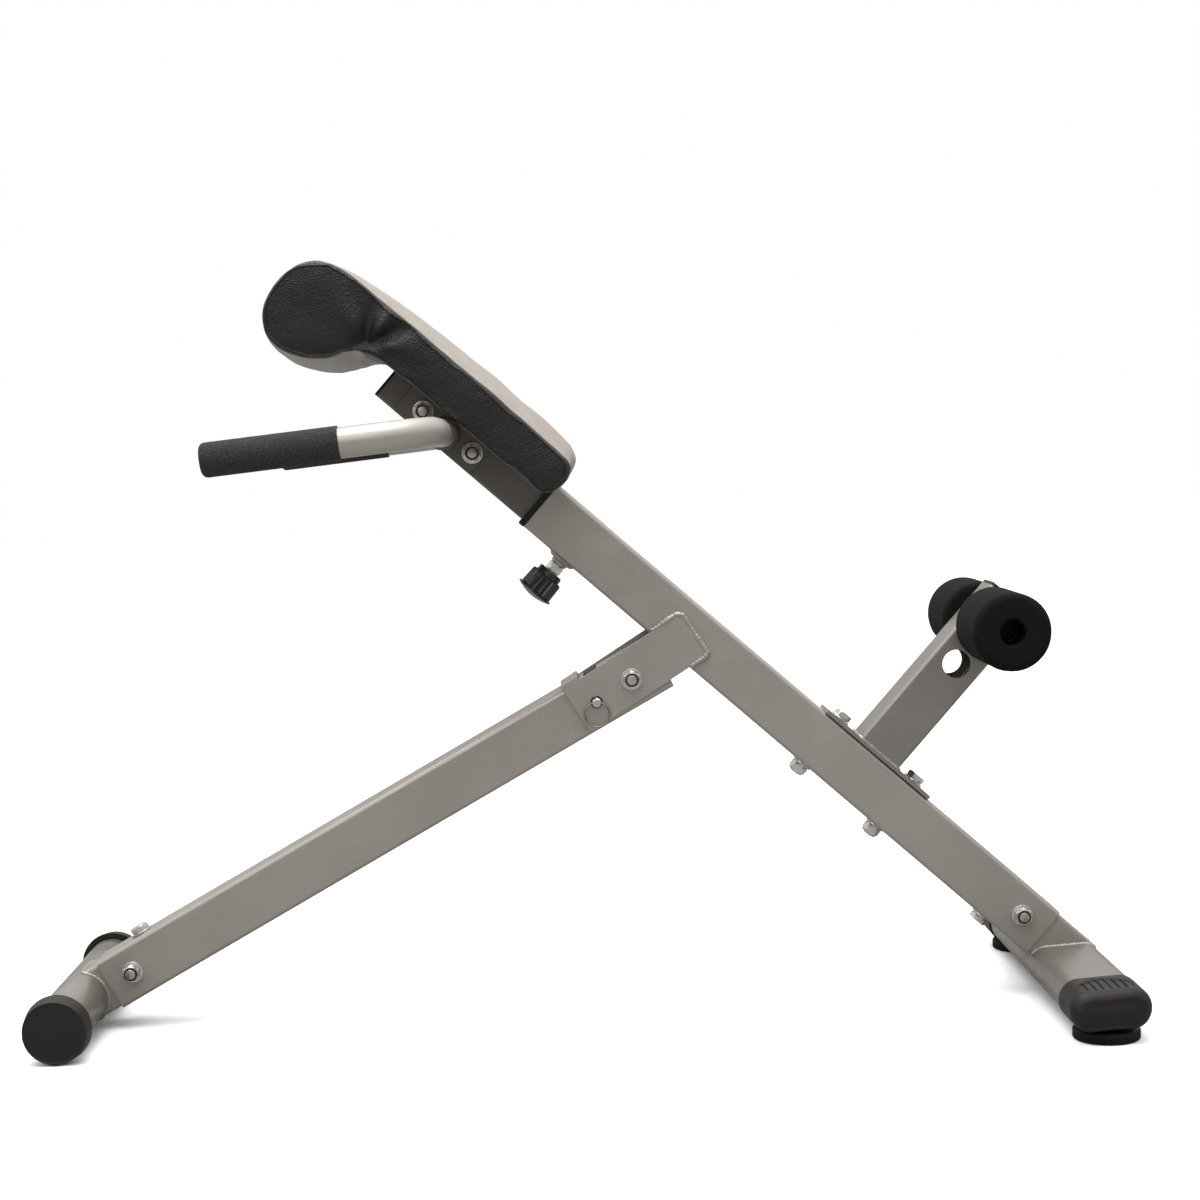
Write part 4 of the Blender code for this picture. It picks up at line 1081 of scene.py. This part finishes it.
def bracket_edge(side, low, high):
    """The edge of one bracket plate where it lies on the main tube's side."""
    y, top, corner = side * (TUBE_HALF + 0.0020), high.z - 0.0040, 0.004
    edge = []
    for i in range(60):
        x = high.x - corner - (59 - i) * 0.0016
        if in_main(BRACKET @ Vector((x, y, top))).z > -TUBE_HALF + 0.001:
            edge.append(BRACKET @ Vector((x, y, top + 0.0008)))
    edge += [BRACKET @ Vector((high.x + 0.0006, y, top - corner - i * 0.0013)) for i in range(36)]
    edge += [BRACKET @ Vector((high.x - corner - i * 0.002, y, low.z)) for i in range(10)]
    return [spot for spot in edge if abs(in_main(spot).z) < TUBE_HALF - 0.0006]


def make_frame_welds():
    """Beads that join the fold bracket to the main tube and the ankle post to its plate."""
    bracket, base = extent("fold_bracket", BRACKET), extent("ankle_post", MAIN)
    beads = [(bead(bracket_edge(side, *bracket), 0.0029, 11.0 + side), SOLID) for side in (-1, 1)]
    middle_x = (base[0].x + base[1].x) / 2
    post = [MAIN @ Vector((middle_x + spot.x, spot.y, TUBE_HALF + 0.0045))
            for spot in square_line(POST_SIZE)]
    beads.append((bead(post, 0.0019, 21.0, closed=True), SOLID))
    piece("frame_welds", "frame", beads, [SILVER])


# ---------------------------------------------------------------- cushion

VOXEL = 0.005
PAD_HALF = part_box("cushion")[1].y
SEAM_INSET = 0.0080        # the seam lies this far in from the side panels
SHRINK = 0.0015            # the cover starts this much smaller than its full shape
ROUNDING = 0.0026          # what its corners lose when they are rounded
SWELL_CAP = 0.0080         # and no point of it moves further than this
CROWN_HALF = 0.235
CROWN_HEIGHT = 0.0150
ROLL_FULLNESS = 0.008
SIM_FRAMES = 20
PRESSURE = 4.0
BOARD_GAP = 0.0008
FOLD_HEIGHT, PLEAT_HEIGHT = 0.0100, 0.0052
# Bearing from the crease in degrees, spread and share of the height of each fold.
CREASE_FOLDS = ((66, 11, -1.0), (92, 13, 0.85), (122, 14, -0.75), (156, 16, 0.45), (38, 14, 0.45))


def side_outline():
    """The pad's side outline in the main tube's frame: the rim of its flat side face."""
    shape = bmesh.new()
    shape.from_mesh(NODES["cushion"].data)
    bmesh.ops.remove_doubles(shape, verts=shape.verts, dist=0.00002)
    flat = {face for face in shape.faces if min(v.co.y for v in face.verts) > PAD_HALF - 0.0001}
    near = {}
    for edge in shape.edges:
        if len(flat.intersection(edge.link_faces)) == 1:
            first, second = edge.verts
            near.setdefault(first, []).append(second)
            near.setdefault(second, []).append(first)
    chain = [min(near, key=lambda vert: vert.co.x)]
    while True:
        ahead = [vert for vert in near[chain[-1]] if vert not in chain]
        if not ahead:
            break
        chain.append(ahead[0])
    line = [side_view(vert.co)[0] for vert in chain]
    shape.free()
    area = sum(a.x * b.y - b.x * a.y for a, b in zip(line, line[1:] + line[:1]))
    return line if area > 0 else line[::-1]


def smoothed(points, rounds=2):
    """A closed line with its corners cut, as many times as there are rounds."""
    for _ in range(rounds):
        made = []
        for first, second in zip(points, points[1:] + points[:1]):
            made += [first.lerp(second, 0.25), first.lerp(second, 0.75)]
        points = made
    return points


def heading_round(line, i):
    """Direction of travel at a point of a closed line."""
    return (line[(i + 1) % len(line)] - line[i - 1]).normalized()


def grown(line, crease):
    """The outline moved out a little to make up for rounding, except along the hem."""
    made = []
    for i, spot in enumerate(line):
        ahead = heading_round(line, i)
        hem = spot.x > crease.x - 0.004 and spot.y < crease.y + 0.002
        made.append(spot if hem else spot + Vector((ahead.y, -ahead.x)) * ROUNDING)
    return made


def crease_of(line):
    """Where the roll meets the flat underside: the most inward corner of the outline."""
    def inward(i):
        before, spot, after = line[i - 1], line[i], line[(i + 1) % len(line)]
        a, b = (spot - before).normalized(), (after - spot).normalized()
        return a.x * b.y - a.y * b.x
    return line[min(range(len(line)), key=inward)]


def swollen(spot, fullness, high, roll_centre, crease):
    """The pad is fullest in the middle of its width: a crowned top and a round roll."""
    if spot.y > high - 0.0080:
        along = (spot.x - (crease.x + 0.134)) / CROWN_HALF
        return spot + Vector((0, fullness * CROWN_HEIGHT * max(0.0, 1 - along * along)))
    if spot.x < crease.x - 0.006:
        return spot + (spot - roll_centre).normalized() * ROLL_FULLNESS * fullness
    return spot


def box_rows(low, high):
    """A box in the main tube's frame."""
    return [[MAIN @ Vector((x, y, z)) for x, z in ((low[0], low[2]), (high[0], low[2]),
             (high[0], high[2]), (low[0], high[2]))] for y in (low[1], high[1])]


def settle(made):
    """Apply an object's modifiers."""
    graph = bpy.context.evaluated_depsgraph_get()
    mesh = bpy.data.meshes.new_from_object(made.evaluated_get(graph))
    made.modifiers.clear()
    made.data = mesh


def board_space():
    """The corners of the space kept under the cushion for its board, in the main tube's frame."""
    low, high = extent("pad_board", MAIN)
    gap = Vector((BOARD_GAP, BOARD_GAP, BOARD_GAP))
    low, high = low - gap, high + gap
    return (low.x, low.y, -0.05), tuple(high)


def cushion_blank(line, crease):
    """A loft over the smoothed outline, hollowed for the board and evenly remeshed."""
    high = max(spot.y for spot in line)
    roll_centre = Vector((crease.x - 0.056, crease.y - 0.0112))
    rows = []
    for i in range(25):
        fraction = sin(pi / 2 * (i - 12) / 12)
        row = []
        for spot in line:
            full = swollen(spot, 1 - fraction * fraction, high, roll_centre, crease)
            row.append(MAIN @ Vector((full.x, fraction * PAD_HALF, full.y)))
        rows.append(row)
    made = bare("cushion_cover", [(rows, SOLID)])
    low, high = board_space()
    tube_top = extent("main_tube", MAIN)[1].z + 0.002
    cutters = [bare("board_space", [(box_rows(low, high), SOLID)]),
               bare("tube_space", [(box_rows((high[0] - 0.002, low[1], -0.05),
                                             (high[0] + 0.08, high[1], tube_top)), SOLID)])]
    for cutter in cutters:
        cut = made.modifiers.new("space", "BOOLEAN")
        cut.object, cut.solver = cutter, "EXACT"
    even = made.modifiers.new("even", "REMESH")
    even.mode, even.voxel_size = "VOXEL", VOXEL
    calm = made.modifiers.new("calm", "SMOOTH")
    calm.factor, calm.iterations = 0.5, 4
    settle(made)
    for cutter in cutters:
        bpy.data.objects.remove(cutter, do_unlink=True)
    return made


def inflate(made, held):
    """Blow the cover up by cloth simulation; the held points are stapled to the board."""
    group = made.vertex_groups.new(name="stapled")
    group.add([i for i, hold in enumerate(held) if hold], 1.0, "REPLACE")
    start = [vert.co.copy() for vert in made.data.vertices]
    cloth = made.modifiers.new("cover", "CLOTH")
    cloth.settings.quality = 5
    cloth.settings.mass = 0.3
    cloth.settings.tension_stiffness = cloth.settings.compression_stiffness = 25
    cloth.settings.shear_stiffness = 12
    cloth.settings.bending_stiffness = 1.2
    cloth.settings.use_pressure = True
    cloth.settings.uniform_pressure_force = PRESSURE
    cloth.settings.effector_weights.gravity = 0.0
    cloth.settings.vertex_group_mass = "stapled"
    cloth.point_cache.frame_start, cloth.point_cache.frame_end = 1, SIM_FRAMES
    for number in range(1, SIM_FRAMES + 1):
        bpy.context.scene.frame_set(number)
    settle(made)
    bpy.context.scene.frame_set(1)
    for vert, before in zip(made.data.vertices, start):
        moved = vert.co - before
        vert.co = before + moved * min(1.0, SWELL_CAP / max(moved.length, 1e-6))
    made.vertex_groups.clear()


def line_distance(spot, line):
    """Distance of a point from a closed line, below zero inside it."""
    best, inside = 1.0, False
    for first, second in zip(line, line[1:] + line[:1]):
        run = second - first
        share = max(0.0, min(1.0, (spot - first).dot(run) / run.length_squared))
        best = min(best, (first + run * share - spot).length)
        if (first.y > spot.y) != (second.y > spot.y):
            if spot.x < first.x + run.x * (spot.y - first.y) / run.y:
                inside = not inside
    return -best if inside else best


def bell(value, width):
    return exp(-(value / width) ** 2)


def fold_height(spot, crease):
    """Folds in a side panel that run out from the crease under the roll."""
    away = spot - crease
    bearing = degrees(atan2(away.y, away.x))
    folds = sum(rise * bell(bearing - at, spread) for at, spread, rise in CREASE_FOLDS)
    reach = (1 - bell(away.length, 0.009)) * bell(away.length, 0.038)
    return FOLD_HEIGHT * folds * reach - 0.0080 * bell(away.length, 0.011)


def pleat_height(spot, side, crease):
    """Zigzag pleats across the underside of the roll, beside the crease."""
    if spot.x > crease.x - 0.001 or spot.y > crease.y:
        return 0.0
    near = bell((spot - crease).length, 0.034)
    zigzag = abs((side / 0.014) % 2 - 1)
    wave = cos(2 * pi * ((crease.x - spot.x) / 0.0145 + 0.55 * zigzag))
    return -PLEAT_HEIGHT * near * (0.5 + 0.5 * wave)


def seam_sense(side, panel_depth, spot, crease):
    """Above zero on the light strip, below zero on the dark panels and underneath."""
    dark = SEAM_INSET - panel_depth - (PAD_HALF - side)
    under = min(crease.y + 0.0022 - spot.y, spot.x - crease.x - 0.001)
    return -max(dark, under)


def shape_cover(made, line, crease):
    """Folds, pleats, and puckers along the seams, on all of the cover that isn't held."""
    held = cover_held(made, crease)
    normals = [vert.normal.copy() for vert in made.data.vertices]
    for vert, normal, hold in zip(made.data.vertices, normals, held):
        if hold:
            continue
        spot, side = side_view(vert.co)
        panel = max(0.0, abs(normal.y) - 0.35) / 0.65 if side > PAD_HALF - 0.03 else 0.0
        height = panel * fold_height(spot, crease) + (1 - panel) * pleat_height(spot, side, crease)
        height += 0.0011 * noise.noise(vert.co * 26) + 0.0005 * noise.noise(vert.co * 70)
        if panel > 0.3:
            from_rim = line_distance(spot, line) + 0.004
            height -= 0.0007 * bell(from_rim, 0.006) * (0.5 + noise.noise(vert.co * 95))
        vert.co += normal * height


def finish_cover(made, line, crease):
    """The cover's folds, a finer mesh, and the value that tells strip from panel."""
    shape_cover(made, line, crease)
    finer = made.modifiers.new("finer", "SUBSURF")
    finer.levels = finer.render_levels = 1
    settle(made)
    sense = made.data.attributes.new("strip", "FLOAT", "POINT")
    for i, vert in enumerate(made.data.vertices):
        spot, side = side_view(vert.co)
        value = 0.02
        if side > PAD_HALF - 0.02 or spot.y < crease.y + 0.01:
            value = seam_sense(side, line_distance(spot, line), spot, crease)
        sense.data[i].value = min(1.0, max(0.0, 0.5 + value * 50))
    made.data.shade_smooth()


def sewn_points(made, line):
    """Which points of the cover lie on the seams round the side panels."""
    sewn = []
    for vert in made.data.vertices:
        spot, side = side_view(vert.co)
        sewn.append(side > PAD_HALF - 0.0050 and line_distance(spot, line) > -0.0045)
    return sewn


def cover_held(made, crease):
    """Which points of the cover lie against the board or are stapled under it."""
    low, high = board_space()
    held = []
    for vert in made.data.vertices:
        spot, side = side_view(vert.co)
        over = low[0] - 0.004 < spot.x < high[0] + 0.004 and side < high[1] + 0.004
        pocket = over and spot.y < high[2] + 0.004
        relief = spot.x > high[0] - 0.004 and side < high[1] + 0.003 and spot.y < 0.034
        stapled = spot.x > crease.x - 0.002 and spot.y < crease.y + 0.0020
        held.append(pocket or relief or stapled)
    return held


def on_cover(tree, spot, aim, reach=0.03):
    """The cover's surface under a point, looking along a direction."""
    hit = tree.ray_cast(spot, aim, reach)
    return hit[0] if hit[0] is not None else tree.find_nearest(spot)[0]


def sewn_line(tree, line, crease, side, inset, step):
    """The sewn part of a side panel's rim, all but the hem, laid on the cover."""
    around = looped(line)
    length = sum((b - a).length for a, b in zip(around, around[1:]))
    even = spaced(around, int(length / step))[:-1]
    spots = []
    for i, spot in enumerate(even):
        ahead = heading_round(even, i)
        inner = spot + Vector((-ahead.y, ahead.x)) * inset
        start = MAIN @ Vector((inner.x, side * (PAD_HALF + 0.02), inner.y))
        spots.append(on_cover(tree, start, Vector((0, -side, 0))))
    seen = [side_view(spot)[0] for spot in spots]
    return run_of(spots, [spot.y > crease.y + 0.013 or spot.x < crease.x - 0.004 for spot in seen])


def make_seams(made, line, crease):
    """A raised seam round each side panel and the stitches that run beside it."""
    tree = BVHTree.FromPolygons([vert.co for vert in made.data.vertices],
                                [face.vertices for face in made.data.polygons])
    for side, label in ((-1, "left"), (1, "right")):
        rim = sewn_line(tree, line, crease, side, -0.0014, 0.0030)
        skins = [(swept(rim, 0.0010, Y_AXIS, 10), SOLID)]
        path = sewn_line(tree, line, crease, side, 0.0042, 0.00125)
        for i in range(0, len(path) - 3, 4):
            skins.append((swept(path[i:i + 3], lambda k: (0.0003, 0.00065, 0.0003)[k],
                                Y_AXIS, 6), painted(1)))
        piece("cushion_seam_" + label, "seat", skins, [SEAM_EDGE, THREAD], ())


def run_of(spots, keep):
    """The longest unbroken run of kept points on a closed line."""
    count, best = len(spots), []
    for start in range(count):
        run = []
        while keep[(start + len(run)) % count] and len(run) < count and not keep[start - 1]:
            run.append(spots[(start + len(run)) % count])
        best = max(best, run, key=len)
    return best


def make_cushion():
    """The pad's cover: blown up over its outline, folded at the crease and seamed."""
    line = side_outline()
    crease = crease_of(line)
    line = grown(smoothed(line), crease)
    made = cushion_blank(line, crease)
    held = cover_held(made, crease)
    normals = [vert.normal.copy() for vert in made.data.vertices]
    for vert, normal, hold in zip(made.data.vertices, normals, held):
        if not hold:
            vert.co -= normal * SHRINK
    inflate(made, [hold or sew for hold, sew in zip(held, sewn_points(made, line))])
    finish_cover(made, line, crease)
    made.data.materials.clear()
    made.data.materials.append(COVER)
    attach(made, "seat")
    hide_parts("cushion")
    make_seams(made, line, crease)


# ---------------------------------------------------------------- camera, floor and light

CAMERA_PLACE = (-0.01236, -2.32571, 0.58522)     # fitted to the photo, as the turns and the lens are
CAMERA_YAW, CAMERA_PITCH, CAMERA_ROLL = radians(-1.172), radians(-3.951), radians(-1.84)
LENS = 67.78
FLOOR_REACH = 14.0
FLOOR_BOUNCE = 0.30
SKY_LOW = 0.11
SKY_STRENGTH = 2.0


def make_camera():
    """Stands to the user's left, a little above the bench, with a slight roll."""
    data = bpy.data.cameras.new("camera")
    data.sensor_width, data.lens, data.clip_end = 36.0, LENS, 50.0
    camera = add_object("camera", data)
    yaw, pitch = CAMERA_YAW, CAMERA_PITCH
    ahead = Vector((-sin(yaw) * cos(pitch), cos(yaw) * cos(pitch), sin(pitch)))
    right = Vector((cos(yaw), sin(yaw), 0))
    level = Matrix((right, right.cross(ahead), -ahead)).transposed().to_4x4()
    roll = Matrix.Rotation(CAMERA_ROLL, 4, "Z")
    camera.matrix_world = Matrix.Translation(CAMERA_PLACE) @ level @ roll
    bpy.context.scene.camera = camera


def floor_paint():
    """Matt paint, white to the camera, that throws only a little light back up on the bench."""
    material = new_material("floor_paint", (1.0, 1.0, 1.0), 0.95, Specular_IOR_Level=0.0)
    direct = add_node(material, "ShaderNodeLightPath").outputs["Is Camera Ray"]
    tint_by(material, direct, ((0.0, grey(FLOOR_BOUNCE)), (1.0, grey(1.0))))
    return material


def make_floor():
    """A pale floor that runs out of sight."""
    mesh = bpy.data.meshes.new("floor")
    far = FLOOR_REACH
    mesh.from_pydata([(-far, -far, 0), (far, -far, 0), (far, far, 0), (-far, far, 0)],
                     [], [(0, 1, 2, 3)])
    mesh.materials.append(floor_paint())
    floor = add_object("floor", mesh)


def area_light(name, place, target, size, power):
    data = bpy.data.lights.new(name, "AREA")
    data.shape, data.energy = "RECTANGLE", power
    data.size, data.size_y = size
    light = add_object(name, data)
    turn = (Vector(target) - Vector(place)).normalized().to_track_quat("-Z", "Y")
    light.matrix_world = Matrix.Translation(place) @ turn.to_matrix().to_4x4()


def make_sky():
    """Light that falls mostly from above; the camera sees plain white."""
    world = bpy.data.worlds.new("studio")
    bpy.context.scene.world = world
    world.use_nodes = True
    tree = world.node_tree
    spot = tree.nodes.new("ShaderNodeTexCoord")
    split = tree.nodes.new("ShaderNodeSeparateXYZ")
    shade = tree.nodes.new("ShaderNodeValToRGB")
    elements = shade.color_ramp.elements
    elements[0].position, elements[0].color = 0.0, (SKY_LOW, SKY_LOW, SKY_LOW, 1)
    elements[1].position, elements[1].color = 0.9, (1, 0.99, 0.975, 1)
    light = tree.nodes["Background"]
    light.inputs["Strength"].default_value = SKY_STRENGTH
    white = tree.nodes.new("ShaderNodeBackground")
    white.inputs["Color"].default_value = (1, 1, 1, 1)
    path = tree.nodes.new("ShaderNodeLightPath")
    mixed = tree.nodes.new("ShaderNodeMixShader")
    links = tree.links
    links.new(spot.outputs["Generated"], split.inputs["Vector"])
    links.new(split.outputs["Z"], shade.inputs["Fac"])
    links.new(shade.outputs["Color"], light.inputs["Color"])
    links.new(path.outputs["Is Camera Ray"], mixed.inputs["Fac"])
    links.new(light.outputs["Background"], mixed.inputs[1])
    links.new(white.outputs["Background"], mixed.inputs[2])
    links.new(mixed.outputs["Shader"], tree.nodes["World Output"].inputs["Surface"])


def make_light():
    make_sky()
    area_light("overhead", (-0.3, -0.3, 2.6), (0.0, 0.0, 0.3), (2.4, 2.0), 62.0)
    area_light("front_fill", (-1.4, -3.2, 1.9), (0.0, 0.0, 0.4), (1.6, 1.2), 14.0)
    bpy.context.scene.view_settings.view_transform = "Standard"


make_fasteners()
make_front_caps()
make_rear_caps()
make_feet()
make_lock()
make_lock_spring()
make_pin_ring()
make_fold_pin()
make_rollers()
make_handles()
make_front_stabilizer()
make_rear_stabilizer()
make_frame_welds()
make_cushion()
make_camera()
make_floor()
make_light()
